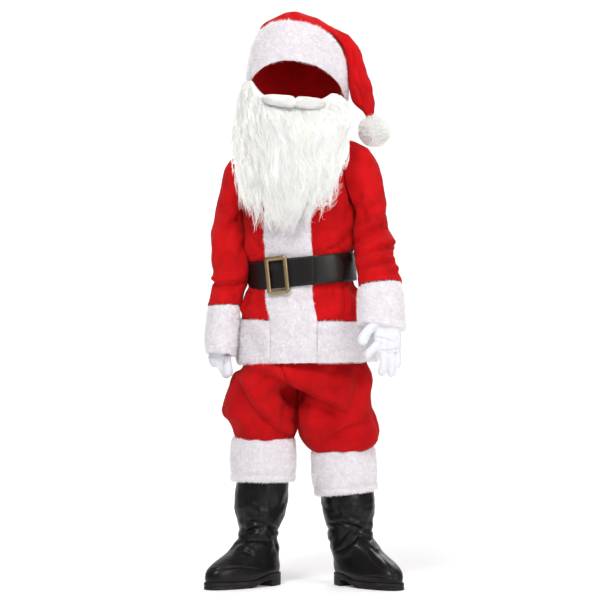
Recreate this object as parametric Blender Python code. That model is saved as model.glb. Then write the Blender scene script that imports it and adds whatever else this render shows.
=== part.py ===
# Santa suit for a small child, worn and empty: hat, false beard, jacket, belt, gloves,
# trousers, fur leg cuffs and boots. Sides are the wearer's: right is -X, left is +X, front is -Y.
# Lengths are millimetres and heights are above the floor, until place() turns them into metres
# about the point between the shoulders where the jacket hangs.
import math
from collections import namedtuple

import bmesh
import bpy
import numpy as np
from mathutils import Vector

MM = 0.001
HANG_HEIGHT = 780.0     # from the floor to the point between the shoulders
SEAM = 0.3              # gap left at every seam, and between a piece and the one it lies on
CLOTH = 2.0             # wall of the red cloth
GLOVE_CLOTH = 1.5
LEATHER = 2.4           # belt strap
VINYL = 2.0             # boot uppers
FUR_FACE = 5.0          # how far the trim's pile stands out from the cloth
FUR_BACK = 3.0          # and how far it reaches inward where no cloth lies under it
TORSO_TURN = -12.0      # degrees about +Z, so the jacket's front looks a little to its right
HEAD_TURN = -9.0

RED = (0.60, 0.010, 0.014)
WHITE_FUR = (0.86, 0.83, 0.86)
BEARD_WHITE = (0.90, 0.90, 0.87)
GLOVE_WHITE = (0.84, 0.86, 0.90)
BLACK = (0.012, 0.011, 0.010)
BRASS = (0.45, 0.32, 0.13)


# ---------------------------------------------------------------- materials and objects

def material(name, colour, roughness, metallic=0.0):
    made = bpy.data.materials.new(name)
    made.use_nodes = True
    shader = made.node_tree.nodes["Principled BSDF"]
    shader.inputs["Base Color"].default_value = (*colour, 1.0)
    shader.inputs["Roughness"].default_value = roughness
    shader.inputs["Metallic"].default_value = metallic
    return made


def place(point):
    return (point[0] * MM, point[1] * MM, (point[2] - HANG_HEIGHT) * MM)


def add_mesh(name, points, faces, look):
    mesh = bpy.data.meshes.new(name)
    mesh.from_pydata([place(point) for point in points], [], faces)
    shape = bmesh.new()
    shape.from_mesh(mesh)
    bmesh.ops.recalc_face_normals(shape, faces=shape.faces)
    shape.to_mesh(mesh)
    shape.free()
    mesh.materials.append(look)
    mesh.shade_smooth()
    made = bpy.data.objects.new(name, mesh)
    bpy.context.collection.objects.link(made)
    return made


# ---------------------------------------------------------------- walls from grids of points

def along(table, station):
    # A table's row at a fractional station, on a smooth curve through its rows.
    rows = np.array(table, dtype=float)
    last = len(rows) - 1
    start = min(max(int(math.floor(station)), 0), last - 1)
    part = station - start
    before, first, second, after = (rows[min(max(start + step, 0), last)] for step in (-1, 0, 1, 2))
    value = (2.0 * first + (second - before) * part
             + (2.0 * before - 5.0 * first + 4.0 * second - after) * part ** 2
             + (3.0 * first - before - 3.0 * second + after) * part ** 3) / 2.0
    return type(table[0])(*value)


def unit(vectors):
    return vectors / np.maximum(np.linalg.norm(vectors, axis=-1, keepdims=True), 1e-9)


def grid_normals(grid, closed):
    # Normals of a grid whose rows go up and whose columns go anticlockwise seen from above.
    down = np.gradient(grid, axis=0)
    if closed:
        across = (np.roll(grid, -1, axis=1) - np.roll(grid, 1, axis=1)) / 2.0
    else:
        across = np.gradient(grid, axis=1)
    return unit(np.cross(across, down))


def moved(grid, distance, closed=False):
    return grid + grid_normals(grid, closed) * np.asarray(distance)[..., None]


def wall_faces(rows, columns, closed):
    # Outer faces, inner faces turned over, and the rims that join them.
    inner = rows * columns
    spans = columns if closed else columns - 1
    faces = []
    for row in range(rows - 1):
        for column in range(spans):
            right = (column + 1) % columns
            low, low_right = row * columns + column, row * columns + right
            high, high_right = low + columns, low_right + columns
            faces.append((low, low_right, high_right, high))
            faces.append((inner + low, inner + high, inner + high_right, inner + low_right))
    for column in range(spans):
        right = (column + 1) % columns
        top = (rows - 1) * columns
        faces.append((column, inner + column, inner + right, right))
        faces.append((top + column, top + right, inner + top + right, inner + top + column))
    if not closed:
        end = columns - 1
        for row in range(rows - 1):
            low, high = row * columns, (row + 1) * columns
            faces.append((low, high, inner + high, inner + low))
            faces.append((low + end, inner + low + end, inner + high + end, high + end))
    return faces


def add_wall(name, grid, look, outside=0.0, inside=CLOTH, closed=False):
    # A wall about a grid: its outer face stands `outside` out of it, its inner face `inside` into it.
    rows, columns = grid.shape[:2]
    spread = np.zeros((rows, columns))
    outer = moved(grid, spread + outside, closed)
    inner = moved(grid, spread - inside, closed)
    points = np.concatenate([outer.reshape(-1, 3), inner.reshape(-1, 3)])
    return add_mesh(name, points, wall_faces(rows, columns, closed), look)


def pile_rows(rows, height, edge):
    # Fur is deepest along the middle of a strip and rolls down to `edge` at both sides.
    across = np.linspace(-1.0, 1.0, rows)
    return edge + (height - edge) * (1.0 - np.abs(across) ** 3.0)


# ---------------------------------------------------------------- rings

def superellipse(angle, half_width, half_depth, power=2.3):
    cosine, sine = math.cos(angle), math.sin(angle)
    across = half_width * math.copysign(abs(cosine) ** (2.0 / power), cosine)
    deep = half_depth * math.copysign(abs(sine) ** (2.0 / power), sine)
    return across, deep


BodyRow = namedtuple("BodyRow", "height x half_width half_depth roll")

JACKET = [
    # height    x   half_width  half_depth  roll
    BodyRow(401, 15.0, 124.0, 97.0, 1.2),
    BodyRow(438, 14.0, 121.0, 95.0, 1.2),
    BodyRow(475, 12.5, 117.5, 92.0, 1.5),
    BodyRow(503, 9.0, 109.0, 87.0, 2.8),
    BodyRow(518, 6.0, 98.0, 79.0, 4.8),
    BodyRow(536, 4.0, 91.0, 76.0, 5.6),
    BodyRow(563, 3.5, 90.0, 75.0, 5.6),
    BodyRow(591, 3.5, 91.0, 76.0, 5.6),
    BodyRow(605, 3.0, 95.0, 80.5, 5.6),
    BodyRow(628, 2.5, 96.0, 86.0, 5.4),
    BodyRow(668, 2.0, 97.5, 84.0, 5.0),
    BodyRow(705, 2.0, 101.0, 79.0, 5.0),
    BodyRow(744, 2.0, 101.0, 73.0, 5.4),
    BodyRow(770, 2.0, 94.0, 66.0, 5.6),
    BodyRow(787, 2.0, 80.0, 60.0, 5.0),
    BodyRow(799, 2.0, 62.0, 55.0, 4.0),
]
HEM_TOP = 2.0           # stations on the table
ARMPIT = 10.0
SHOULDER = 13.5
NECK = 15.0
BELT_LOW = 5.0
BELT_HIGH = 7.0
ARMHOLE_STEPS = 6
ARMHOLE_WIDTH = 33.0    # degrees from the side to the armhole's widest point
FRONT_BAND = dict(centre=267.0, half_width=43.0)   # degrees of its middle, and half its width


def jacket_point(station, degrees, out=0.0):
    # A point of the jacket's outer face: 0 degrees is the wearer's left, 270 the centre front.
    row = along(JACKET, station)
    across, deep = superellipse(math.radians(degrees), row.half_width + out, row.half_depth + out)
    turn = math.radians(TORSO_TURN)
    roll = math.radians(row.roll)
    x = across * math.cos(turn) - deep * math.sin(turn)
    y = across * math.sin(turn) + deep * math.cos(turn)
    return np.array([row.x + x * math.cos(roll), y, row.height + x * math.sin(roll)])


TubeRow = namedtuple("TubeRow", "outer_x outer_height inner_x inner_height y half_depth pitch")


def tube_ring(row, columns, side):
    # A ring between an outer point and an inner one, anticlockwise from the wearer's left.
    ring = []
    middle_x, middle_height = (row.outer_x + row.inner_x) / 2.0, (row.outer_height + row.inner_height) / 2.0
    half_x, half_height = (row.outer_x - row.inner_x) / 2.0, (row.outer_height - row.inner_height) / 2.0
    for column in range(columns):
        across, deep = superellipse(math.tau * column / columns, 1.0, 1.0, 2.2)
        rise = -row.half_depth * deep * math.sin(math.radians(row.pitch))
        y = row.y + row.half_depth * deep * math.cos(math.radians(row.pitch))
        x = middle_x + half_x * side * across
        ring.append((x, y, middle_height + half_height * side * across + rise))
    return np.array(ring)


def tube(table, stations, columns):
    rows = [along(table, station) for station in stations]
    # One side for the whole tube, so that it never turns over where it folds back.
    side = math.copysign(1.0, sum(row.outer_x - row.inner_x for row in rows))
    return np.array([tube_ring(row, columns, side) for row in rows])


# ---------------------------------------------------------------- jacket

def jacket_stations():
    below = list(np.linspace(HEM_TOP + 0.02, ARMPIT, 11))[:-1]
    armhole = list(np.linspace(ARMPIT, SHOULDER, ARMHOLE_STEPS + 1))
    above = list(np.linspace(SHOULDER, NECK, 3))[1:]
    return below, armhole, above


def armhole_gap(step):
    return ARMHOLE_WIDTH * math.sin(math.pi * step / ARMHOLE_STEPS) ** 0.7


def skirt_folds(station, degrees):
    # Gathers under the belt, deepest between it and the hem.
    weight = math.exp(-((station - 3.4) / 0.9) ** 2)
    wave = math.sin(math.radians(degrees * 9.0)) + 0.5 * math.sin(math.radians(degrees * 14.0 + 60.0))
    return 2.6 * weight * wave


def chest_folds(station, degrees):
    # The cloth swells over the belt.
    weight = math.exp(-((station - 8.4) / 0.7) ** 2)
    return 2.2 * weight * math.sin(math.radians(degrees * 7.0 + 40.0))


def jacket_cloth(station, degrees):
    under_band = 1.0 - math.exp(-((degrees - FRONT_BAND["centre"]) / 32.0) ** 4)
    folds = skirt_folds(station, degrees) + chest_folds(station, degrees)
    return jacket_point(station, degrees, folds * under_band)


def jacket_panel(name, side_start, side_end, columns):
    # A panel between two edges; an edge on a side seam opens round the armhole.
    below, armhole, above = jacket_stations()
    rows = []
    for station in below + armhole + above:
        gap = armhole_gap(armhole.index(station)) if station in armhole else 0.0
        start = side_start + 0.17 + (gap if side_start % 180 == 0 else 0.0)
        end = side_end - 0.17 - (gap if side_end % 180 == 0 else 0.0)
        rows.append([jacket_cloth(station, angle) for angle in np.linspace(start, end, columns)])
    return add_wall(name, np.array(rows), RED_CLOTH)


def armhole_ring(side_degrees):
    # The armhole's edge for the sleeve, 0.45 mm inside the panels', anticlockwise from the wearer's left.
    _, armhole, _ = jacket_stations()
    levels = [armhole[0] + 0.05] + armhole[1:-1] + [armhole[-1] - 0.04]
    ahead, behind = [], []
    for step, station in enumerate(levels):
        gap = max(armhole_gap(step) - 0.45, 0.0)
        front, back = (-gap, gap) if side_degrees == 0 else (gap, -gap)
        ahead.append(jacket_cloth(station, side_degrees + front))
        behind.append(jacket_cloth(station, side_degrees + back))
    if side_degrees == 0:
        return np.array(behind[::-1] + ahead[1:-1])
    return np.array(behind + ahead[::-1][1:-1])


RIGHT_SLEEVE = [
    # outer x  height  inner x  height   y   half_depth  pitch
    TubeRow(-107, 776, -102, 661, 18, 40, 0),
    TubeRow(-124, 766, -103, 655, 16, 42, 0),
    TubeRow(-137, 742, -103, 647, 13, 42, 0),
    TubeRow(-145, 708, -102.5, 636, 10, 40, 0),
    TubeRow(-152, 671, -98.8, 621, 6, 38, 0),
    TubeRow(-158, 638, -97.2, 604, 2, 36, 0),
    TubeRow(-160, 603, -97.2, 586, -2, 35, 0),
    TubeRow(-159, 574, -98.2, 567, -6, 34, 2),
    TubeRow(-155, 548, -101.5, 545, -9, 32, 4),
    TubeRow(-160, 526, -104.5, 524, -12, 33, 5),
    TubeRow(-166, 502, -112, 502, -14, 34, 5),
]
LEFT_SLEEVE = [
    TubeRow(103, 795, 104, 676, -18, 40, 0),
    TubeRow(121, 784, 105, 668, -19, 42, 0),
    TubeRow(137, 761, 105, 658, -20, 42, 0),
    TubeRow(147, 732, 102, 646, -22, 40, 0),
    TubeRow(152, 700, 100, 632, -25, 38, 0),
    TubeRow(155, 667, 99, 618, -28, 36, 4),
    TubeRow(159, 637, 99, 606, -34, 35, 12),
    TubeRow(167, 612, 100, 596, -42, 34, 20),
    TubeRow(166, 588, 103, 583, -54, 33, 28),
    TubeRow(175, 566, 106, 565, -69, 32, 34),
    TubeRow(181, 541, 108, 541, -84, 32, 36),
]
RIGHT_CUFF = [
    TubeRow(-163.5, 500, -117.5, 500, -14, 40, 5),
    TubeRow(-166, 458, -119.5, 456, -17, 41, 5),
    TubeRow(-168.5, 419, -121.5, 413, -20, 41, 5),
]
LEFT_CUFF = [
    TubeRow(178, 536, 111, 534, -87, 33, 36),
    TubeRow(181.5, 503, 108, 506, -110, 35, 36),
    TubeRow(184, 470, 105, 477, -132, 35, 36),
]
SLEEVE_COLUMNS = 2 * ARMHOLE_STEPS


def sleeve(name, table, side_degrees):
    rings = [armhole_ring(side_degrees)]
    rings += list(tube(table, np.linspace(0.4, len(table) - 1, 14), SLEEVE_COLUMNS))
    grid = np.array(rings)
    elbow = np.linspace(0.0, 1.0, len(rings))[:, None]
    around = np.linspace(0.0, math.tau, SLEEVE_COLUMNS, endpoint=False)[None, :]
    creases = 1.6 * np.exp(-((elbow - 0.72) / 0.2) ** 2) * np.sin(elbow * 40.0 + around * 2.0)
    grid = moved(grid, creases, closed=True)
    return add_wall(name, grid[::-1], RED_CLOTH, closed=True)


def fur_tube(name, table, rows, columns, face, back):
    # Fur round a cuff: it rolls over at both edges and is thicker between them.
    grid = tube(table, np.linspace(len(table) - 1, 0, rows), columns)
    outside = pile_rows(rows, face, face * 0.45)[:, None]
    inside = pile_rows(rows, back, back * 0.6)[:, None]
    return add_wall(name, grid, WHITE_PILE, outside, inside, closed=True)


def band_degrees(station, share):
    # The angle of a point of the front band, `share` of the half width from its middle.
    row = along(JACKET, station)
    reach = min(abs(share) * FRONT_BAND["half_width"] / row.half_width, 0.95) ** 1.15
    return FRONT_BAND["centre"] + math.degrees(math.copysign(math.asin(reach), share))


def front_band():
    columns = 7
    stations = list(np.linspace(0.0, NECK - 0.35, 22))
    rows, outside = [], []
    for station in stations:
        pressed = math.exp(-((station - (BELT_LOW + BELT_HIGH) / 2.0) / 1.9) ** 4)
        face = FUR_FACE * (1.0 - 0.55 * pressed)
        shares = np.linspace(-1.0, 1.0, columns)
        rows.append([jacket_cloth(station, band_degrees(station, share)) for share in shares])
        outside.append(0.9 + 1.8 + (face - 1.8) * (1.0 - np.abs(shares) ** 3.0))
    grid = np.array(rows)
    return add_wall("jacket_fur_front_band", grid, WHITE_PILE, np.array(outside), -1.0)


def hem_band(name, start, end, columns):
    # One length of the hem fur, from the front band's edge round to the centre back.
    stations = np.linspace(0.0, HEM_TOP - 0.03, 6)
    rows = []
    for station in stations:
        low = band_degrees(station, 1.0) + 0.7 if start is None else start
        high = band_degrees(station, -1.0) - 0.7 if end is None else end
        rows.append([jacket_point(station, angle) for angle in np.linspace(low, high, columns)])
    outside = pile_rows(len(stations), FUR_FACE + 1.0, 2.0)[:, None]
    inside = pile_rows(len(stations), FUR_BACK, 1.5)[:, None]
    return add_wall(name, np.array(rows), WHITE_PILE, outside, inside)


def jacket():
    jacket_panel("jacket_back", 0, 180, 15)
    jacket_panel("jacket_front_right", 180, 270, 8)
    jacket_panel("jacket_front_left", 270, 360, 8)
    sleeve("jacket_sleeve_right", RIGHT_SLEEVE, 180)
    sleeve("jacket_sleeve_left", LEFT_SLEEVE, 0)
    fur_tube("jacket_fur_cuff_right", RIGHT_CUFF, 7, 16, 4.0, 3.0)
    fur_tube("jacket_fur_cuff_left", LEFT_CUFF, 7, 16, 4.0, 4.5)
    front_band()
    hem_band("jacket_fur_hem_left", None, 449.8, 17)
    hem_band("jacket_fur_hem_right", 90.2, None, 17)


# ---------------------------------------------------------------- belt

STRAP_WIDTH = 51.0
BUCKLE = dict(degrees=258.0, width=43.0, height=67.0, bar=8.0, depth=5.0)


def strap_point(degrees, height, out):
    # A point of the belt: `height` runs across the strap from its middle.
    middle = (BELT_LOW + BELT_HIGH) / 2.0
    row = along(JACKET, middle)
    across, deep = superellipse(math.radians(degrees), row.half_width + out, row.half_depth + out)
    turn, roll = math.radians(TORSO_TURN), math.radians(row.roll)
    x = across * math.cos(turn) - deep * math.sin(turn)
    y = across * math.sin(turn) + deep * math.cos(turn)
    rise_x, rise_height = -math.sin(roll), math.cos(roll)
    return np.array([row.x + x * math.cos(roll) + height * rise_x, y,
                     row.height + x * math.sin(roll) + height * rise_height])


def belt_strap():
    # It starts behind the buckle, goes once round, comes back over itself and ends in a rounded tip.
    start = BUCKLE["degrees"] - 6.0
    tip = BUCKLE["degrees"] + 360.0 + 68.0
    angles = list(np.linspace(start, start + 330.0, 36)) + list(np.linspace(start + 338.0, tip, 16))
    rows = 3
    columns = []
    for angle in angles:
        lifted = min(max((angle - start - 325.0) / 30.0, 0.0), 1.0)
        lift = 7.9 + 3.4 * lifted * lifted * (3.0 - 2.0 * lifted)
        near_tip = max((angle - tip + 12.0) / 12.0, 0.0)
        half = STRAP_WIDTH / 2.0 * math.sqrt(max(1.0 - near_tip ** 2.2, 0.03))
        columns.append([strap_point(angle, height, lift) for height in np.linspace(-half, half, rows)])
    grid = np.array(columns).transpose(1, 0, 2)
    return add_wall("belt_strap", grid, BLACK_LEATHER, 0.0, LEATHER)


def belt_buckle():
    # A flat frame with rounded corners, standing on the strap's face.
    centre = strap_point(BUCKLE["degrees"], -2.5, 14.0)
    up = unit(strap_point(BUCKLE["degrees"], 10.0, 9.0) - strap_point(BUCKLE["degrees"], 0.0, 9.0))
    ahead = strap_point(BUCKLE["degrees"] + 5.0, 0.0, 9.0)
    along_strap = unit(ahead - strap_point(BUCKLE["degrees"] - 5.0, 0.0, 9.0))
    out = unit(np.cross(along_strap, up))
    points, faces = [], []
    corner, inner_corner, steps = 6.0, 1.6, 4
    profile = [(0.0, 0.0), (1.0, 0.0), (1.0, 0.62), (0.72, 1.0), (0.28, 1.0), (0.0, 0.62)]
    for quarter, (sign_x, sign_y) in enumerate([(1, 1), (-1, 1), (-1, -1), (1, -1)]):
        for step in range(steps):
            angle = math.radians(90.0 * (quarter + step / (steps - 1)))
            for inward, raised in profile:
                radius = corner + (inner_corner - corner) * inward
                inset = BUCKLE["bar"] * inward + radius
                x = sign_x * (BUCKLE["width"] / 2.0 - inset) + math.cos(angle) * radius
                y = sign_y * (BUCKLE["height"] / 2.0 - inset) + math.sin(angle) * radius
                points.append(centre + along_strap * x + up * y + out * raised * BUCKLE["depth"])
    count, sides = 4 * steps, len(profile)
    for ring in range(count):
        for side in range(sides):
            following, beside = (ring + 1) % count, (side + 1) % sides
            faces.append((ring * sides + side, following * sides + side,
                          following * sides + beside, ring * sides + beside))
    return add_mesh("belt_buckle", points, faces, ANTIQUE_BRASS)


# ---------------------------------------------------------------- hat

HAT = [
    # the crown as a tube: outer is the wearer's right, then the top of the fold; inner is the left
    # outer x  height  inner x  height   y   half_depth  pitch
    TubeRow(-88, 886, 77, 874, 0, 89, 20),
    TubeRow(-84, 925, 75, 912, 12, 86, 20),
    TubeRow(-77, 968, 70, 948, 24, 80, 20),
    TubeRow(-70, 999, 69, 962, 30, 74, 16),
    TubeRow(-48, 1018, 70, 968, 32, 66, 12),
    TubeRow(-15, 1030, 72, 972, 32, 58, 6),
    TubeRow(25, 1022, 75, 975, 30, 50, 0),
    TubeRow(58, 1004, 79, 975, 26, 42, 0),
    TubeRow(86, 985, 84, 970, 20, 36, 0),
    TubeRow(106, 961, 89, 954, 12, 31, 0),
    TubeRow(117, 934, 91.5, 928, 4, 28, 0),
    TubeRow(127, 902, 93.5, 897, -6, 25, 0),
    TubeRow(133, 868, 98, 866, -16, 21, 0),
    TubeRow(132, 851, 113, 850, -22, 12, 0),
]
BAND_TOP = 2.0          # station where the fur band ends
HAT_ARCH = 22.0         # how far the brow of the band rises over its sides
POMPOM = dict(centre=(133.5, -27.0, 815.0), radius=29.0)


def hat_arch(grid, weights):
    # The hat is pushed up at the brow: rows rise toward the front, where the wearer looks out.
    raised = grid.copy()
    count = grid.shape[1]
    for column in range(count):
        angle = math.tau * column / count
        facing = math.cos(angle - math.radians(270.0 + HEAD_TURN))
        raised[:, column, 2] += HAT_ARCH * weights * (0.5 + 0.5 * facing) ** 2
    return raised


def hat():
    stations = np.linspace(0.0, len(HAT) - 1, 19)
    grid = tube(HAT, stations, 14)
    grid = hat_arch(grid, np.clip(1.0 - (stations - 2.0) / 1.5, 0.0, 1.0))
    around = np.linspace(0.0, math.tau, 14, endpoint=False)[None, :]
    fold = np.exp(-((stations - 5.5) / 2.0) ** 2)[:, None]
    grid = moved(grid, -1.6 * fold * np.sin(around * 3.0 + stations[:, None] * 1.3), closed=True)
    add_wall("hat_crown", grid, RED_CLOTH, closed=True)
    rows = 7
    band = tube(HAT, np.linspace(-0.12, BAND_TOP, rows), 24)
    band = hat_arch(band, np.ones(rows))
    add_wall("hat_fur_band", band, WHITE_PILE, pile_rows(rows, 9.5, 4.0)[:, None], -SEAM - 0.9, closed=True)
    ball = bmesh.new()
    bmesh.ops.create_icosphere(ball, subdivisions=3, radius=POMPOM["radius"])
    middle = Vector(POMPOM["centre"])
    points = [middle + vertex.co * (1.0 + 0.03 * math.sin(vertex.index * 2.4)) for vertex in ball.verts]
    faces = [[vertex.index for vertex in face.verts] for face in ball.faces]
    add_mesh("hat_pompom", points, faces, WHITE_PILE)
    ball.free()


# ---------------------------------------------------------------- beard

BeardRow = namedtuple("BeardRow", "x right left front side thickness")

BEARD = [
    # from the mouth to the tips
    #  x  right left  front  side  thickness
    BeardRow(-6, 103, 90, -101, -42, 14),
    BeardRow(-5, 106, 98, -116, -46, 17),
    BeardRow(-4, 108, 104, -126, -56, 19),
    BeardRow(-4, 108, 106, -131, -66, 20),
    BeardRow(-6, 106, 106, -132, -76, 18),
    BeardRow(-10, 100, 108, -128, -88, 13),
    BeardRow(-14, 92, 110, -122, -98, 7),
]
BEARD_MOUTH = 855.0     # heights: middle of the top edge, its ends by the ears, the tips
BEARD_EARS = 893.0
BEARD_TIP = 642.0
BEARD_TURN = -9.0


def beard_point(share, down, out=0.0):
    # `share` runs from the wearer's right edge, -1, to the left, 1.
    # `down` runs from the mouth, 0, to the tips, 1.
    row = along(BEARD, down * (len(BEARD) - 1))
    swing = math.radians(82.0) * share
    top = BEARD_MOUTH + (BEARD_EARS - BEARD_MOUTH) * min(abs(share) * 1.35, 1.0) ** 3.0
    sides = 28.0 * max(-share, 0.0) ** 2.0 + 118.0 * max(share, 0.0) ** 1.8
    bottom = BEARD_TIP + sides
    reach = (row.right if share < 0 else row.left) + out
    x = row.x + reach * math.sin(swing) / math.sin(math.radians(82.0))
    y = row.side + (row.front - row.side - out) * math.cos(swing)
    turn = math.radians(BEARD_TURN)
    return np.array([x * math.cos(turn) - y * math.sin(turn) * 0.55,
                     x * math.sin(turn) + y * math.cos(turn), top + (bottom - top) * down])


def beard():
    rows, columns = 12, 17
    shares = np.linspace(-1.0, 1.0, columns)
    downs = np.linspace(1.0, 0.0, rows)
    grid = np.array([[beard_point(share, down) for share in shares] for down in downs])
    locks = 2.2 * np.sin(shares * 19.0)[None, :] * np.clip(downs, 0.2, 1.0)[:, None]
    thickness = np.array([along(BEARD, down * (len(BEARD) - 1)).thickness for down in downs])[:, None]
    edges = 1.0 - 0.72 * np.abs(shares)[None, :] ** 4.0
    add_wall("false_beard", grid, BEARD_HAIR, locks, thickness * edges)


def moustache():
    # Two lobes, thick near the middle, tapering and drooping toward the cheeks.
    columns, sides = 15, 10
    rings = []
    for share in np.linspace(-1.0, 1.0, columns):
        base = beard_point(0.06 + share * 0.36, 0.0, 13.0)
        droop = 20.0 - 4.0 * abs(share) ** 1.5 - 9.0 * share
        size = 1.0 - 0.55 * abs(share) ** 3.0 - 0.25 * math.exp(-(share / 0.14) ** 2)
        ring = []
        for side in range(sides):
            angle = math.tau * side / sides
            swing = math.radians(share * 50.0)
            out = np.array([math.sin(swing), -math.cos(swing), 0.0])
            offset = out * math.cos(angle) * 9.0 * size
            ring.append(base + offset + np.array([0.0, 0.0, droop * 0.5 + math.sin(angle) * 11.0 * size]))
        rings.append(ring)
    points = [point for ring in rings for point in ring]
    faces = []
    for ring in range(columns - 1):
        for side in range(sides):
            beside = (side + 1) % sides
            low, high = ring * sides, (ring + 1) * sides
            faces.append((low + side, high + side, high + beside, low + beside))
    faces.append(tuple(range(sides)))
    faces.append(tuple(reversed(range((columns - 1) * sides, columns * sides))))
    add_mesh("false_moustache", points, faces, BEARD_HAIR)


# ---------------------------------------------------------------- trousers

LegRow = namedtuple("LegRow", "outer_x outer_height inner_x inner_height wrap y front back")

RIGHT_LEG = [
    # wrap is 0 where a panel ends at the centre seam and 1 where it ends at the inseam
    # outer x  height  inner x  height wrap  y  front back
    LegRow(-84, 517, 3, 517, 0.0, 0, 67, 67),
    LegRow(-92, 480, 4, 480, 0.0, 0, 74, 76),
    LegRow(-98, 440, 1, 440, 0.0, 0, 77, 82),
    LegRow(-102, 392, -5, 394, 0.0, 0, 81, 86),
    LegRow(-119, 375, -5.6, 380, 0.12, 0, 86, 90),
    LegRow(-132, 343, -6.8, 366, 0.42, 0, 82, 86),
    LegRow(-138, 321, -6.8, 356, 0.78, 0, 76, 80),
    LegRow(-136, 307, -6.8, 342, 1.0, 0, 72, 75),
    LegRow(-128, 297, -6.8, 318, 1.0, 0, 69, 71),
    LegRow(-122, 283, -7.6, 290, 1.0, 0, 66, 68),
    LegRow(-116, 266, -15, 266, 1.0, 0, 54, 56),
]
LEFT_LEG = [
    LegRow(92, 517, 3, 517, 0.0, 0, 67, 67),
    LegRow(102, 480, 4, 480, 0.0, 0, 74, 76),
    LegRow(112, 440, 1, 440, 0.0, 0, 80, 84),
    LegRow(119, 402, -2.6, 402, 0.0, 0, 84, 88),
    LegRow(128, 374, -3.6, 380, 0.12, 0, 86, 90),
    LegRow(126, 345, -2.6, 366, 0.42, 0, 82, 86),
    LegRow(128, 322, -2.6, 356, 0.78, 0, 76, 80),
    LegRow(136, 303, -2.6, 338, 1.0, 0, 72, 75),
    LegRow(141, 282, -2.6, 312, 1.0, 0, 70, 72),
    LegRow(139, 262, -0.5, 272, 1.0, 0, 66, 68),
    LegRow(128, 250, 15, 244, 1.0, 0, 54, 56),
]
TROUSER_FOLDS = [
    # station, share across the panel, length along, length across, depth
    (4.6, 0.62, 1.1, 0.10, 4.5),
    (5.6, 0.30, 0.8, 0.12, 3.5),
    (7.2, 0.52, 0.9, 0.14, 4.0),
    (8.6, 0.22, 0.7, 0.16, 3.5),
    (8.9, 0.78, 0.8, 0.12, 3.0),
]


def leg_point(table, station, share, face):
    # `share` runs from the outer seam, 0, to the centre seam or inseam, 1; `face` is -1 in front.
    row = along(table, station)
    wrap = min(max(row.wrap, 0.0), 1.0)
    reach = math.pi / 2.0 * (1.0 + wrap)
    angle = reach * share
    half = (row.inner_x - row.outer_x) / (1.0 - math.cos(reach))
    x = row.outer_x + half * (1.0 - math.cos(angle))
    progress = (1.0 - math.cos(angle)) / (1.0 - math.cos(reach))
    depth = row.front if face < 0 else row.back
    height = row.outer_height + (row.inner_height - row.outer_height) * progress ** 1.5
    return np.array([x, row.y + face * depth * math.sin(angle) ** 0.92, height])


def trouser_panel(name, table, side, face):
    # side is -1 for the wearer's right leg; columns run anticlockwise seen from above.
    rows, columns = 14, 9
    stations = np.linspace(len(table) - 1, 0, rows)
    away = -1.0 if (side * face) > 0 else 1.0
    shares = np.linspace(0.0, 1.0, columns)
    grid = np.array([[leg_point(table, station, share, face) for share in shares] for station in stations])
    troughs = np.zeros((rows, columns))
    for at, across, length, width, depth in TROUSER_FOLDS:
        slant = across + 0.16 * (stations - at)
        troughs += (depth * np.exp(-((stations - at) / length) ** 2)[:, None]
                    * np.exp(-((shares[None, :] - slant[:, None]) / width) ** 2))
    gathered = np.clip((stations - 8.5) / 1.5, 0.0, 1.0)[:, None] * np.sin(shares * 26.0)[None, :]
    if away < 0:
        grid, troughs, gathered = grid[:, ::-1], troughs[:, ::-1], gathered[:, ::-1]
    calm = np.clip(1.0 - np.abs(2.0 * shares - 1.0) ** 2.0, 0.0, 1.0)[None, :]
    if away < 0:
        calm = calm[:, ::-1]
    grid = moved(grid, (gathered * 1.6 - troughs) * calm)
    # The two edges keep half a seam's gap to the panels beside them.
    first = grid[:, 1] - grid[:, 0]
    last = grid[:, -2] - grid[:, -1]
    grid[:, 0] += first * (SEAM * 0.7 / np.linalg.norm(first, axis=1))[:, None]
    grid[:, -1] += last * (SEAM * 0.7 / np.linalg.norm(last, axis=1))[:, None]
    return add_wall(name, grid, RED_CLOTH)


def trousers():
    trouser_panel("trousers_front_right", RIGHT_LEG, -1, -1)
    trouser_panel("trousers_back_right", RIGHT_LEG, -1, 1)
    trouser_panel("trousers_front_left", LEFT_LEG, 1, -1)
    trouser_panel("trousers_back_left", LEFT_LEG, 1, 1)
    band = [TubeRow(92, 518, -84, 518, 0, 67, 0), TubeRow(89, 548, -81, 548, 0, 64, 0)]
    add_wall("trousers_waistband", tube(band, [0.0, 0.5, 1.0], 18), RED_CLOTH, 0.0, CLOTH * 1.3, closed=True)


RIGHT_LEG_CUFF = [
    TubeRow(-9, 263, -123, 264, 2, 57, 0),
    TubeRow(-8, 225, -125, 226, 2, 58, 0),
    TubeRow(-9, 188, -124, 188, 2, 57, 0),
]
LEFT_LEG_CUFF = [
    TubeRow(134, 248, 20, 240, 2, 57, 0),
    TubeRow(138, 210, 22, 201, 2, 58, 0),
    TubeRow(139, 172, 27, 161, 2, 57, 0),
]


def leg_cuffs():
    for name, table in (("leg_fur_cuff_right", RIGHT_LEG_CUFF), ("leg_fur_cuff_left", LEFT_LEG_CUFF)):
        grid = tube(table, np.linspace(2, 0, 8), 16)
        outside = np.array([0.2, 1.2, -0.8, 0.8, 1.2, 1.2, 1.0, -0.6])[:, None]
        add_wall(name, grid, WHITE_PILE, outside, 7.5, closed=True)


# ---------------------------------------------------------------- boots

BootRow = namedtuple("BootRow", "height heel toe half_width lean")

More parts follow.
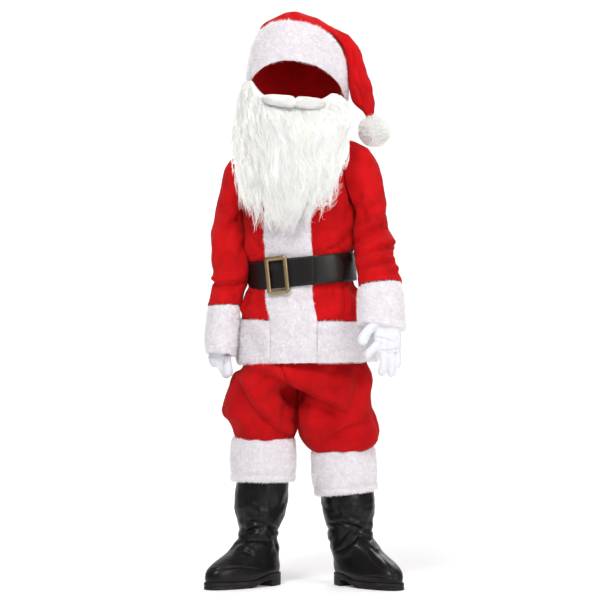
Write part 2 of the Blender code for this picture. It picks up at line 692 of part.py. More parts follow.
BOOT = [
    # heel and toe are how far the section reaches behind and before the shaft's axis
    BootRow(13, 44, 122, 35, 0),
    BootRow(22, 45, 123, 37, 0),
    BootRow(33, 45, 119, 36.5, 0),
    BootRow(43, 44, 105, 35, 0),
    BootRow(53, 43, 86, 34, 0.1),
    BootRow(66, 41, 63, 33, 0.25),
    BootRow(82, 38, 45, 33, 0.4),
    BootRow(100, 38, 39, 34, 0.55),
    BootRow(118, 41, 41, 37, 0.7),
    BootRow(135, 43, 44, 41, 0.85),
    BootRow(152, 45, 46, 43, 1.0),
    BootRow(188, 43, 43, 42, 1.25),
    BootRow(212, 43, 43, 42, 1.4),
]
RIGHT_BOOT = dict(foot=(-78.0, -8.0), shaft=(-69.0, 2.0), turn=-43.0)
LEFT_BOOT = dict(foot=(103.0, -8.0), shaft=(86.0, 2.0), turn=35.0)
SOLE = dict(height=8.0, heel_rise=10.0, welt=3.0)


def boot_outline(row, columns, grow=0.0):
    # One level section in the boot's own frame, toe to -Y, anticlockwise from the wearer's left.
    ring = []
    for column in range(columns):
        angle = math.tau * column / columns
        across, deep = superellipse(angle, row.half_width + grow, 1.0, 2.4)
        reach = (row.toe if deep < 0 else row.heel) + grow
        narrow = 1.0 - 0.10 * max(deep, 0.0) - 0.05 * max(-deep, 0.0) ** 3
        ring.append((across * narrow, deep * reach))
    return ring


def sole_rise(y):
    # The upper's lower edge climbs from the ball of the foot to the heel.
    part = min(max((y + 45.0) / 55.0, 0.0), 1.0)
    return SOLE["heel_rise"] * part * part * (3.0 - 2.0 * part)


def boot_place(boot, x, y, height, lean):
    turn = math.radians(boot["turn"])
    at = [boot["foot"][axis] + (boot["shaft"][axis] - boot["foot"][axis]) * lean for axis in (0, 1)]
    cosine, sine = math.cos(turn), math.sin(turn)
    return (at[0] + x * cosine - y * sine, at[1] + x * sine + y * cosine, height)


def boot_upper(name, boot):
    columns = 14
    stations = np.linspace(0, len(BOOT) - 1, 17)
    rows = []
    for station in stations:
        row = along(BOOT, station)
        ring = []
        settle = math.exp(-((row.height - 13.0) / 30.0))
        for column, (x, y) in enumerate(boot_outline(row, columns)):
            angle = math.tau * column / columns
            crease = math.exp(-((row.height - 92.0) / 34.0) ** 2)
            swell = 1.0 + 0.045 * crease * math.sin(row.height * 0.23 + 1.7 * math.sin(angle))
            ring.append(boot_place(boot, x * swell, y * swell, row.height + sole_rise(y) * settle, row.lean))
        rows.append(ring)
    return add_wall(name, np.array(rows), BLACK_VINYL, 0.0, VINYL, closed=True)


def slab(name, boot, stations, low, high, look):
    # A block of rectangles along the foot; low and high give its two faces at each station.
    row = BOOT[0]
    points, faces = [], []
    for y in stations:
        reach = (row.toe if y < 0 else row.heel) + SOLE["welt"]
        across = (1.0 - min(abs(y) / reach, 0.999) ** 2.4) ** (1.0 / 2.4) * (row.half_width + SOLE["welt"])
        across *= 1.0 - 0.10 * max(y / reach, 0.0)
        for x, level in ((-across, low(y)), (across, low(y)), (across, high(y)), (-across, high(y))):
            points.append(boot_place(boot, x, y, level, 0.0))
    for ring in range(len(stations) - 1):
        for side in range(4):
            beside = (side + 1) % 4
            start, after = ring * 4, ring * 4 + 4
            faces.append((start + side, after + side, after + beside, start + beside))
    last = (len(stations) - 1) * 4
    faces.append((0, 1, 2, 3))
    faces.append((last + 3, last + 2, last + 1, last))
    return add_mesh(name, points, faces, look)


def boot_sole(name, boot):
    toe, heel = BOOT[0].toe + SOLE["welt"], BOOT[0].heel + SOLE["welt"]
    ends = [toe * value for value in (-0.995, -0.96, -0.9, -0.8, -0.66, -0.5)]
    stations = ends + [-48.0, -34.0, -18.0, 0.0] + [heel * value for value in (0.3, 0.6, 0.8, 0.93, 0.99)]

    def low(y):
        part = min(max((y + 48.0) / 36.0, 0.0), 1.0)
        return 11.0 * part * part * (3.0 - 2.0 * part)

    def high(y):
        return SOLE["height"] + 4.4 + sole_rise(y)

    return slab(name, boot, stations, low, high, BLACK_RUBBER)


def boot_heel(name, boot):
    heel = BOOT[0].heel + SOLE["welt"]
    stations = [0.0] + [heel * value for value in (0.3, 0.6, 0.8, 0.93, 0.99)]
    return slab(name, boot, stations, lambda y: 0.0, lambda y: 11.0 - SEAM, BLACK_RUBBER)


def boots():
    for side, boot in (("right", RIGHT_BOOT), ("left", LEFT_BOOT)):
        boot_upper("boot_upper_" + side, boot)
        boot_sole("boot_sole_" + side, boot)
        boot_heel("boot_heel_" + side, boot)


# ---------------------------------------------------------------- gloves

# A finger is a name, its points from root to tip, and its radius.
RIGHT_GLOVE = dict(
    palm=[
        ((-144, -16, 452), 15, 26), ((-145, -17, 424), 16, 27),
        ((-146, -14, 404), 18, 28), ((-143, -12, 392), 14, 27),
    ],
    fingers=[
        ([(-133, -33, 410), (-128, -39, 398), (-128, -42, 382)], 8.0),
        ([(-142, -32, 398), (-136, -33, 386), (-133, -26, 379)], 7.5),
        ([(-143, -17, 398), (-137, -15, 385), (-133, -8, 378)], 7.5),
        ([(-144, -2, 399), (-138, 0, 387), (-134, 6, 381)], 7.2),
        ([(-145, 10, 402), (-140, 13, 391), (-137, 17, 385)], 6.6),
    ])
LEFT_GLOVE = dict(
    palm=[
        ((148, -132, 492), 26, 18), ((151, -140, 462), 26, 15),
        ((153, -143, 436), 24, 13), ((153, -141, 420), 22, 11),
    ],
    fingers=[
        ([(136, -146, 466), (122, -156, 456), (109, -158, 446)], 9.5),
        ([(137, -143, 434), (128, -155, 424), (123, -149, 413)], 8.2),
        ([(147, -143, 424), (145, -150, 405), (144, -146, 388)], 7.6),
        ([(159, -142, 424), (160, -147, 403), (159, -144, 386)], 7.6),
        ([(169, -140, 427), (171, -143, 413), (169, -139, 401)], 6.8),
    ])


def loft_object(name, rings):
    # A closed loft through equal rings, with flat ends, as a hidden building block.
    sides = len(rings[0])
    points = [point for ring in rings for point in ring]
    faces = [tuple(reversed(range(sides))), tuple(range(len(points) - sides, len(points)))]
    for ring in range(len(rings) - 1):
        for side in range(sides):
            beside = (side + 1) % sides
            low, high = ring * sides, (ring + 1) * sides
            faces.append((low + side, low + beside, high + beside, high + side))
    return add_mesh(name, points, faces, GLOVE_COTTON)


def palm_block(name, glove, shrink, lift):
    rings = []
    palm = glove["palm"]
    for level, (centre, half_width, half_depth) in enumerate(palm):
        raised = lift if level == 0 else 0.0
        lowered = shrink if level == len(palm) - 1 else 0.0
        ring = []
        for side in range(10):
            across, deep = superellipse(math.tau * side / 10, half_width - shrink, half_depth - shrink, 2.4)
            ring.append((centre[0] + across, centre[1] + deep, centre[2] + raised + lowered))
        rings.append(ring)
    return loft_object(name, rings)


def finger_block(name, spine, radius, shrink):
    points = [Vector(point) for point in spine]
    steps = 2
    rings = []
    for step in range(steps + 3):
        part = min(step / steps, 1.0)
        at = points[0].lerp(points[1], part).lerp(points[1].lerp(points[2], part), part)
        heading = (points[1] - points[0]).lerp(points[2] - points[1], part).normalized()
        over = max(step - steps, 0)
        size = (radius - shrink) * (1.0, 0.82, 0.42)[over]
        at = at + heading * (radius - shrink) * (0.0, 0.58, 0.9)[over]
        side = heading.cross(Vector((0.0, 1.0, 0.15))).normalized()
        up = heading.cross(side)
        angles = [math.tau * turn / 6 for turn in range(6)]
        rings.append([at + (side * math.cos(angle) + up * math.sin(angle)) * size for angle in angles])
    return loft_object(name, rings)


def combine(base, others, operation):
    for other in others:
        cut = base.modifiers.new("combine", "BOOLEAN")
        cut.operation = operation
        cut.solver = "EXACT"
        cut.object = other
    bpy.context.view_layer.update()
    evaluated = base.evaluated_get(bpy.context.evaluated_depsgraph_get())
    mesh = bpy.data.meshes.new_from_object(evaluated)
    base.modifiers.clear()
    base.data = mesh
    for other in others:
        bpy.data.objects.remove(other)
    return base


def glove(name, shape):
    outer = palm_block(name, shape, 0.0, 0.0)
    fingers = [finger_block(name + "_f", spine, radius, 0.0) for spine, radius in shape["fingers"]]
    combine(outer, fingers, "UNION")
    inner = palm_block(name + "_inner", shape, GLOVE_CLOTH, 4.0)
    hollows = [finger_block(name + "_i", spine, radius, GLOVE_CLOTH) for spine, radius in shape["fingers"]]
    combine(inner, hollows, "UNION")
    combine(outer, [inner], "DIFFERENCE")
    outer.data.name = name
    outer.data.shade_smooth()
    return outer


# ---------------------------------------------------------------- the suit

for old in list(bpy.data.objects):
    bpy.data.objects.remove(old, do_unlink=True)

RED_CLOTH = material("red_cloth", RED, 0.85)
WHITE_PILE = material("white_fur", WHITE_FUR, 0.95)
BEARD_HAIR = material("beard_hair", BEARD_WHITE, 0.8)
GLOVE_COTTON = material("glove_cotton", GLOVE_WHITE, 0.85)
BLACK_LEATHER = material("belt_leather", BLACK, 0.4)
BLACK_VINYL = material("boot_vinyl", BLACK, 0.25)
BLACK_RUBBER = material("boot_rubber", BLACK, 0.6)
ANTIQUE_BRASS = material("antique_brass", BRASS, 0.35, 1.0)

jacket()
belt_strap()
belt_buckle()
hat()
beard()
moustache()
trousers()
leg_cuffs()
boots()
glove("glove_right", RIGHT_GLOVE)
glove("glove_left", LEFT_GLOVE)
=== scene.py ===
# A small child's santa suit, worn and empty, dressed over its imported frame.
import math
import bmesh
import bpy
import numpy as np
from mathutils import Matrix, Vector, noise


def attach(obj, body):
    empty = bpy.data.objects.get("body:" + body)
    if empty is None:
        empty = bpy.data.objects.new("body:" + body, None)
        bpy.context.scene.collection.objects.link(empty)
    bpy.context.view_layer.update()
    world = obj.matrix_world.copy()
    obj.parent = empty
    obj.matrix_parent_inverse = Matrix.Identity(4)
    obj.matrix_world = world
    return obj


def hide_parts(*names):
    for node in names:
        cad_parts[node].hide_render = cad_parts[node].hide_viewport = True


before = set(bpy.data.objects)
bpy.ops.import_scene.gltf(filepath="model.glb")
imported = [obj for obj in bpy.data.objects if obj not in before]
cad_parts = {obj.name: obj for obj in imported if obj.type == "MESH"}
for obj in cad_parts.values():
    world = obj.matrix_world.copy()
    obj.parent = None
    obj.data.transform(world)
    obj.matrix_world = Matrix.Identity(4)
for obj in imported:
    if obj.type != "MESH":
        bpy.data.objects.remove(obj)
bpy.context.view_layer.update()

mm = 0.001
hangHeight = 780.0      # tables count heights from the floor, and the frame from between the shoulders
detail = 1.0


# One socket of a tree, so that sums on values are written as sums.
class Wire:
    def __init__(self, owner, socket):
        self.owner = owner
        self.socket = socket

    def mathNode(self, operation, first, second=None):
        values = {0: first}
        if second is not None:
            values[1] = second
        return self.owner.node("ShaderNodeMath", {"operation": operation}, values)

    def __add__(self, other):
        return self.mathNode("ADD", self, other)

    def __radd__(self, other):
        return self.mathNode("ADD", other, self)

    def __sub__(self, other):
        return self.mathNode("SUBTRACT", self, other)

    def __rsub__(self, other):
        return self.mathNode("SUBTRACT", other, self)

    def __mul__(self, other):
        return self.mathNode("MULTIPLY", self, other)

    def __rmul__(self, other):
        return self.mathNode("MULTIPLY", other, self)

    def __truediv__(self, other):
        return self.mathNode("DIVIDE", self, other)

    def __rtruediv__(self, other):
        return self.mathNode("DIVIDE", other, self)

    def __pow__(self, other):
        return self.mathNode("POWER", self, other)

    def smallest(self, other):
        return self.mathNode("MINIMUM", self, other)

    def largest(self, other):
        return self.mathNode("MAXIMUM", self, other)

    def clamped(self):
        return self.largest(0.0).smallest(1.0)

    def sine(self):
        return self.mathNode("SINE", self)

    def size(self):
        return self.mathNode("ABSOLUTE", self)


# A node tree being written, for a material or for geometry.
class Tree:
    def __init__(self, tree):
        self.tree = tree

    def node(self, kind, settings=None, values=None, output=0):
        made = self.tree.nodes.new(kind)
        for key, value in (settings or {}).items():
            if key == "stops":
                ramp = made.color_ramp.elements
                while len(ramp) < len(value):
                    ramp.new(0.5)
                for stop, (at, colour) in zip(ramp, value):
                    stop.position = at
                    stop.color = colour
            else:
                setattr(made, key, value)
        for key, value in (values or {}).items():
            if isinstance(value, Wire):
                self.tree.links.new(value.socket, made.inputs[key])
            else:
                made.inputs[key].default_value = value
        return Wire(self, made.outputs[output])


    def combined(self, **values):
        return self.node("ShaderNodeCombineXYZ", None, values)

    def vectors(self, operation, first, second):
        key = "Scale" if operation == "SCALE" else 1
        return self.node("ShaderNodeVectorMath", {"operation": operation}, {0: first, key: second})

    def chance(self, low, high, seed, **more):
        return self.node("FunctionNodeRandomValue", {"data_type": "FLOAT"},
                         {2: low, 3: high, **more, "Seed": seed}, 1)

    def stored(self, geometry, name, value, domain="POINT"):
        return self.node("GeometryNodeStoreNamedAttribute", {"data_type": "FLOAT", "domain": domain},
                         {"Geometry": geometry, "Name": name, "Value": value})

    def alignedTo(self, vector):
        return self.node("FunctionNodeAlignRotationToVector", {"axis": "Z"}, {"Vector": vector})


class Finish(Tree):
    def __init__(self, name, **constants):
        self.material = bpy.data.materials.new(name)
        self.material.use_nodes = True
        super().__init__(self.material.node_tree)
        self.shader = self.tree.nodes["Principled BSDF"]
        for key, value in constants.items():
            self.shader.inputs[key.replace("_", " ")].default_value = value

    def place(self, source="Object"):
        return self.node("ShaderNodeTexCoord", output=source)

    def attribute(self, name, output="Fac"):
        return self.node("ShaderNodeAttribute", {"attribute_name": name}, output=output)

    def scaled(self, vector, scale, turn=(0.0, 0.0, 0.0)):
        return self.node("ShaderNodeMapping", None, {"Vector": vector, "Scale": scale, "Rotation": turn})

    def cloud(self, vector, scale, layers=2.0, rough=0.5):
        return self.node("ShaderNodeTexNoise", None,
                         {"Vector": vector, "Scale": scale, "Detail": layers, "Roughness": rough})

    def cells(self, vector, scale, feature="F1"):
        return self.node("ShaderNodeTexVoronoi", {"feature": feature}, {"Vector": vector, "Scale": scale})

    def ramp(self, value, stops):
        return self.node("ShaderNodeValToRGB", {"stops": stops}, {"Fac": value})

    def mix(self, share, first, second, how="MIX"):
        return self.node("ShaderNodeMix", {"data_type": "RGBA", "blend_type": how},
                         {0: share, 6: first, 7: second}, 2)

    def feed(self, key, wire):
        self.tree.links.new(wire.socket, self.shader.inputs[key])

    def bump(self, height, distance, strength=1.0, under=None):
        values = {"Height": height, "Distance": distance, "Strength": strength}
        if under is not None:
            values["Normal"] = under
        return self.node("ShaderNodeBump", None, values)


def parts(vector):
    made = vector.owner.node("ShaderNodeSeparateXYZ", None, {"Vector": vector})
    return [Wire(vector.owner, socket) for socket in made.socket.node.outputs]


def rgb(red, green, blue):
    # a screen colour, 0 to 255, as the shader's linear one
    linear = [((part / 255.0 + 0.055) / 1.055) ** 2.4 if part > 10 else part / 255.0 / 12.92
              for part in (red, green, blue)]
    return (*linear, 1.0)


def linked(name, data):
    made = bpy.data.objects.new(name, data)
    bpy.context.collection.objects.link(made)
    return made


view = dict(lens=166.7, distance=5.0, height=512.0, sensor=36.0, farthest=60.0)


def makeCamera():
    data = bpy.data.cameras.new("camera")
    data.lens = view["lens"]
    data.sensor_width = view["sensor"]
    data.clip_end = view["farthest"]
    made = linked("camera", data)
    made.location = (0.0, -view["distance"], (view["height"] - hangHeight) * mm)
    made.rotation_euler = (math.radians(90.0), 0.0, 0.0)
    bpy.context.scene.camera = made


studio = dict(
    sky=(1.0, 1.0, 1.0, 1.0),
    skyStrength=0.31,
    look="Standard",
    floor=rgb(250, 250, 250),
    nearGlow=rgb(120, 120, 120),
    glow=0.55,
    glowStart=0.6,          # metres behind the suit, where the glow starts to grow
    glowLength=3.4,
    sweep=dict(halfWidth=9.0, front=-9.0, back=7.5, corner=2.0, steps=12, top=8.0),
    aim=(0.0, 0.0, -0.27),
    lamps=[
        # name, place, size, watts
        ("keyLamp", (-0.7, -2.8, 2.3), 1.0, 84.0),
        ("fillLamp", (2.4, -2.8, 0.9), 1.8, 56.0),
        ("rimLamp", (0.6, 2.6, 1.6), 1.6, 30.0),
        ("topLamp", (0.0, -0.4, 2.6), 1.6, 20.0),
    ])


def makeLight():
    world = bpy.data.worlds.new("studio")
    world.use_nodes = True
    light = world.node_tree.nodes["Background"]
    light.inputs["Color"].default_value = studio["sky"]
    light.inputs["Strength"].default_value = studio["skyStrength"]
    bpy.context.scene.world = world
    bpy.context.scene.view_settings.view_transform = studio["look"]
    for name, at, size, watts in studio["lamps"]:
        data = bpy.data.lights.new(name, "AREA")
        data.size = size
        data.energy = watts
        lamp = linked(name, data)
        lamp.location = at
        lamp.rotation_euler = (Vector(studio["aim"]) - Vector(at)).to_track_quat("-Z", "Y").to_euler()


def sweepProfile():
    # y and height of a floor that curves up into a wall behind the suit
    sweep = studio["sweep"]
    foot, corner = sweep["back"] - sweep["corner"], sweep["corner"]
    profile = [(sweep["front"], 0.0), (foot, 0.0)]
    for step in range(1, sweep["steps"] + 1):
        angle = math.pi / 2.0 * step / sweep["steps"]
        profile.append((foot + corner * math.sin(angle), corner - corner * math.cos(angle)))
    profile.append((sweep["back"], sweep["top"]))
    return profile


def makeFloor():
    finish = Finish("studioFloor", Base_Color=studio["floor"], Emission_Strength=studio["glow"])
    spot = finish.place()
    finish.feed("Roughness", 0.86 + finish.cloud(spot, 3.0) * 0.06)
    # the sweep behind the suit stands far from the lamps, so it glows more the further back it is
    apart = finish.node("ShaderNodeSeparateXYZ", None, {"Vector": spot}, 1)
    far = ((apart - studio["glowStart"]) / studio["glowLength"]).clamped()
    finish.feed("Emission Color", finish.mix(far, studio["nearGlow"], studio["floor"]))
    shape = bmesh.new()
    halfWidth = studio["sweep"]["halfWidth"]
    rows = [[shape.verts.new((x, y, z - hangHeight * mm)) for x in (-halfWidth, halfWidth)]
            for y, z in sweepProfile()]
    for low, high in zip(rows, rows[1:]):
        shape.faces.new((low[0], low[1], high[1], high[0]))
    mesh = bpy.data.meshes.new("studioFloor")
    shape.to_mesh(mesh)
    shape.free()
    mesh.materials.append(finish.material)
    mesh.shade_smooth()
    linked("studioFloor", mesh)


makeCamera()
makeLight()
makeFloor()
print("studio ready")


# Tables of rings, and smooth curves through their rows

def alongTable(table, stations):
    rows = np.array(table, dtype=float)
    stations = np.asarray(stations, dtype=float)
    last = len(rows) - 1
    start = np.clip(np.floor(stations).astype(int), 0, last - 1)
    part = (stations - start)[..., None]
    before, first, second, after = (rows[np.clip(start + step, 0, last)] for step in (-1, 0, 1, 2))
    curve = (2.0 * first + (second - before) * part
             + (2.0 * before - 5.0 * first + 4.0 * second - after) * part ** 2
             + (3.0 * first - before - 3.0 * second + after) * part ** 3) / 2.0
    return np.moveaxis(curve, -1, 0)


def roundedBox(angles, halfWidth, halfDepth, power=2.3):
    cosine, sine = np.cos(angles), np.sin(angles)
    across = halfWidth * np.sign(cosine) * np.abs(cosine) ** (2.0 / power)
    deep = halfDepth * np.sign(sine) * np.abs(sine) ** (2.0 / power)
    return across, deep


def unit(vectors):
    return vectors / np.maximum(np.linalg.norm(vectors, axis=-1, keepdims=True), 1e-9)


def gridNormals(grid, closed=False):
    up = np.gradient(grid, axis=0)
    if closed:
        across = (np.roll(grid, -1, axis=1) - np.roll(grid, 1, axis=1)) / 2.0
    else:
        across = np.gradient(grid, axis=1)
    return unit(np.cross(across, up))


def pushed(grid, distance, closed=False):
    return grid + gridNormals(grid, closed) * np.asarray(distance)[..., None]


def bell(value, middle, width, power=2):
    # 1 at the middle and near nothing two widths away
    return np.exp(-((value - middle) / width) ** power)


def smoothStep(value):
    value = np.clip(value, 0.0, 1.0)
    return value * value * (3.0 - 2.0 * value)


def ripple(points, size, seed, depth=1.0):
    # a soft, uneven rise and fall over the cloth, a few sines along odd directions
    random = np.random.default_rng(seed)
    total = np.zeros(points.shape[:-1])
    for share in (1.0, 0.7, 0.5, 0.35):
        heading = unit(random.normal(size=3)) * math.tau / (size * share * random.uniform(0.8, 1.25))
        total += share * np.sin(points @ heading + random.uniform(0.0, math.tau))
    return depth * total / 2.0


# Creases are listed one by one. Each starts and ends at two points of a plane, bows by so much, and sinks
# into the cloth with a softer swell along one side: (across, height), (across, height), bow, width, depth

def creaseField(grid, normals, creases, face):
    axis, sign = {"front": (1, -1), "back": (1, 1), "right": (0, -1), "left": (0, 1)}[face]
    flat = 0 if axis == 1 else 1
    facing = smoothStep((normals[..., axis] * sign - 0.02) / 0.4)
    total = np.zeros(grid.shape[:-1])
    for (startX, startZ), (endX, endZ), bow, width, depth in creases:
        run = np.array([endX - startX, endZ - startZ])
        length = np.linalg.norm(run)
        run = run / length
        x = grid[..., flat] - startX
        z = grid[..., 2] - startZ
        part = (x * run[0] + z * run[1]) / length
        apart = -x * run[1] + z * run[0] - bow * (1.0 - (2.0 * np.clip(part, 0.0, 1.0) - 1.0) ** 2)
        taper = smoothStep((part + 0.22) / 0.42) * smoothStep((1.22 - part) / 0.42)
        trough = bell(apart, 0.0, width)
        swell = 0.75 * bell(apart, 2.0 * width, 1.5 * width)
        total += depth * (swell - trough) * taper
    return total * facing


def creased(grid, normals, tables):
    return sum(creaseField(grid, normals, creases, face) for face, creases in tables.items())


# Meshes in metres about the frame's origin, from points in millimetres above the floor

def inFrame(points):
    placed = np.asarray(points, dtype=float).reshape(-1, 3) * mm
    placed[:, 2] -= hangHeight * mm
    return placed


def addMesh(name, points, faces, finish, uvs=None, tidy=False):
    mesh = bpy.data.meshes.new(name)
    mesh.from_pydata(inFrame(points).tolist(), [], faces)
    if uvs is not None:
        layer = mesh.uv_layers.new(name="cloth")
        corners = np.zeros(len(mesh.loops), dtype=np.int32)
        mesh.loops.foreach_get("vertex_index", corners)
        layer.data.foreach_set("uv", np.asarray(uvs, dtype=np.float32)[corners].ravel())
    if tidy:
        shape = bmesh.new()
        shape.from_mesh(mesh)
        bmesh.ops.recalc_face_normals(shape, faces=shape.faces)
        shape.to_mesh(mesh)
        shape.free()
    if finish is not None:
        mesh.materials.append(finish)
    mesh.shade_smooth()
    mesh.update()
    return linked(name, mesh)


def gridFaces(rows, columns, closed, start=0, turned=False):
    steps = columns if closed else columns - 1
    row, column = np.meshgrid(np.arange(rows - 1), np.arange(steps), indexing="ij")
    low = row * columns + column
    lowNext = row * columns + (column + 1) % columns
    faces = np.stack([low, lowNext, lowNext + columns, low + columns], axis=-1).reshape(-1, 4) + start
    return faces[:, ::-1] if turned else faces


def shellFaces(rows, columns, closed):
    # the outer face, the inner face turned over, and the rims that join them
    inner = rows * columns
    parts = [gridFaces(rows, columns, closed), gridFaces(rows, columns, closed, inner, True)]
    column = np.arange(columns if closed else columns - 1)
    after = (column + 1) % columns
    top = (rows - 1) * columns
    parts.append(np.stack([column, inner + column, inner + after, after], axis=-1))
    parts.append(np.stack([top + column, top + after, inner + top + after, inner + top + column], axis=-1))
    if not closed:
        low = np.arange(rows - 1) * columns
        high = low + columns
        end = columns - 1
        parts.append(np.stack([low, high, inner + high, inner + low], axis=-1))
        parts.append(np.stack([low + end, inner + low + end, inner + high + end, high + end], axis=-1))
    return np.concatenate(parts).tolist()


def clothUvs(grid):
    # true lengths over the cloth, in metres, so that a weave keeps its size
    rows, columns = grid.shape[:2]
    alongRows = np.zeros((rows, columns))
    alongRows[1:] = np.cumsum(np.linalg.norm(np.diff(grid, axis=0), axis=2), axis=0)
    across = np.zeros((rows, columns))
    across[:, 1:] = np.cumsum(np.linalg.norm(np.diff(grid, axis=1), axis=2), axis=1)
    across -= across[:, columns // 2][:, None]
    middle = np.average(alongRows, axis=1)[:, None]
    return np.stack([across * mm, 0.5 * (alongRows + middle) * mm], axis=-1).reshape(-1, 2)


def addShell(name, grid, finish, outside=0.0, inside=2.0, closed=False):
    # a wall that reaches so far out from the grid, and so far in
    normals = gridNormals(grid, closed)
    outer = grid + normals * np.asarray(outside)[..., None]
    inner = grid - normals * np.asarray(inside)[..., None]
    points = np.concatenate([outer.reshape(-1, 3), inner.reshape(-1, 3)])
    uvs = np.tile(clothUvs(grid), (2, 1))
    return addMesh(name, points, shellFaces(*grid.shape[:2], closed), finish, uvs)


def rimIn(columns, spacing, reach=3.0, depth=1.1):
    # how far cloth turns in toward its side edges, as at a seam
    column = np.arange(columns)
    fromEdge = np.minimum(column, columns - 1 - column)[None, :] * spacing
    return -depth * bell(fromEdge, 0.0, reach)


def wears(piece, node):
    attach(piece, "root")
    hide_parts(node)


def printArea(made):
    print("  ", made.name, "area of one face", round(sum(face.area for face in made.data.polygons) / 2.0, 4))


def printFaces(made):
    print("  ", made.name, len(made.data.polygons), "faces")


# Finishes

redCloth = dict(
    colour=rgb(194, 10, 16), worn=rgb(207, 23, 28), shade=rgb(158, 4, 9),
    ribPitch=0.0012, napSize=0.0009, patchSize=0.045,
    # the second value darkens the trousers below this height with painted shade
    trouserTop=-0.33, trouserShade=0.42)      # the trousers start below this height, in metres


def makeRedCloth():
    cloth = Finish("redFeltTwill", Sheen_Weight=0.10, Sheen_Roughness=0.45, Sheen_Tint=rgb(255, 120, 110),
                   Specular_IOR_Level=0.12)
    uv = cloth.place("UV")
    spot = cloth.place()
    u, v = parts(uv)[:2]
    rib = ((u + v * 0.82) * (math.tau / redCloth["ribPitch"])).sine() * 0.5 + 0.5
    thread = ((u * 0.9 - v) * (math.tau / (redCloth["ribPitch"] * 0.62))).sine() * 0.5 + 0.5
    nap = cloth.cloud(spot, 1.0 / redCloth["napSize"], 3.0, 0.7)
    lint = cloth.cloud(spot, 260.0, 2.0)
    patches = cloth.cloud(spot, 1.0 / redCloth["patchSize"], 3.0, 0.55)
    stops = [(0.30, redCloth["shade"]), (0.52, redCloth["colour"]), (0.78, redCloth["worn"])]
    soft = cloth.ramp(patches, stops)
    hairy = cloth.mix(nap * 0.34, soft, redCloth["worn"])
    ribbed = cloth.mix((1.0 - rib) * 0.22, hairy, redCloth["shade"])
    # painted shade: the trousers are darkened below trouserTop, standing in for the shade under the jacket's
    # hem
    low = ((redCloth["trouserTop"] - parts(spot)[2]) * 12.0).clamped()
    cloth.feed("Base Color", cloth.mix(low * redCloth["trouserShade"], ribbed, redCloth["shade"]))
    cloth.feed("Roughness", 0.80 + nap * 0.16)
    height = rib * 0.35 + thread * 0.18 + nap * 0.55 + lint * 0.6
    cloth.feed("Normal", cloth.bump(height, 0.0007, 0.55))
    return cloth.material


whiteFur = dict(
    root=rgb(240, 236, 239), tip=rgb(255, 254, 255), hollowShade=rgb(216, 210, 217), clump=0.007, glow=0.03)


def makeFurBase():
    base = Finish("plushBacking", Roughness=0.95, Sheen_Weight=0.15, Specular_IOR_Level=0.1)
    spot = base.place()
    tuft = base.cells(spot, 1.0 / whiteFur["clump"])
    fine = base.cloud(spot, 900.0, 3.0, 0.7)
    # painted shade: the backing darkens toward the edges of its tufts, where the pile shades it
    base.feed("Base Color", base.mix((tuft * 0.9).smallest(1.0), whiteFur["root"], whiteFur["hollowShade"]))
    base.feed("Normal", base.bump(fine - tuft * 0.6, 0.0018, 0.7))
    return base.material


def makeFurPile():
    # painted light: the pile glows a little, standing in for light passed on among the white fibres
    pile = Finish("plushPile", Roughness=0.9, Sheen_Weight=0.1, Specular_IOR_Level=0.1,
                  Emission_Color=whiteFur["tip"], Emission_Strength=whiteFur["glow"])
    tip = pile.attribute("tip")
    odd = pile.attribute("odd")
    spot = pile.place()
    drift = pile.cloud(spot, 70.0, 2.0)
    # painted shade: the blades are darker toward their roots, where the pile shades itself
    base = pile.mix(tip, whiteFur["root"], whiteFur["tip"])
    toned = pile.mix((odd * 0.25 + drift * 0.22), base, whiteFur["root"])
    # painted shade in random patches
    shadePatches = (pile.cloud(spot, 34.0, 3.0, 0.6) - 0.48).largest(0.0) * 1.5
    pile.feed("Base Color", pile.mix(shadePatches, toned, whiteFur["hollowShade"]))
    return pile.material


beardHair = dict(
    root=rgb(243, 243, 240), tip=rgb(252, 252, 250), cream=rgb(252, 249, 240), deep=rgb(240, 241, 243),
    backingGlow=0.05, strandGlow=0.02)


def makeBeardBase():
    # painted light: the backing glows a little, as does the moustache's core, standing in for light passed on
    # among white hairs
    base = Finish("beardBacking", Roughness=0.9, Specular_IOR_Level=0.15,
                  Emission_Color=beardHair["root"], Emission_Strength=beardHair["backingGlow"])
    u, v = parts(base.place("UV"))[:2]
    waver = base.cloud(base.place(), 26.0, 2.0)
    streak = base.combined(X=u * 420.0 + waver * 9.0, Y=v * 14.0, Z=waver * 2.0)
    strands = base.cloud(streak, 1.0, 4.0, 0.65)
    base.feed("Base Color", base.ramp(strands, [(0.36, beardHair["deep"]), (0.66, beardHair["root"])]))
    base.feed("Normal", base.bump(strands, 0.003, 0.8))
    return base.material


def makeBeardStrand():
    # a little glow stands for the light that white hair passes on from strand to strand
    hair = Finish("beardHair", Specular_IOR_Level=0.12, Sheen_Weight=0.1,
                  Emission_Color=beardHair["tip"], Emission_Strength=beardHair["strandGlow"])
    odd = hair.attribute("odd")
    tip = hair.attribute("tip")
    spot = hair.place()
    patch = hair.cloud(spot, 30.0, 2.0)
    # painted shade: the strands are a little darker toward their roots
    base = hair.mix(tip, beardHair["root"], beardHair["tip"])
    warm = hair.mix((patch - 0.42).largest(0.0) * 2.6 * odd, base, beardHair["cream"])
    hair.feed("Base Color", hair.mix((0.5 - odd).largest(0.0) * 0.4, warm, beardHair["deep"]))
    fine = hair.cloud(hair.scaled(spot, (1.0, 1.0, 0.18)), 900.0, 2.0)
    hair.feed("Roughness", 0.56 + fine * 0.22)
    hair.feed("Normal", hair.bump(fine, 0.0005, 0.35))
    return hair.material


gloveKnit = dict(colour=rgb(236, 236, 240), stitchShade=rgb(200, 201, 210), stitch=0.0015)


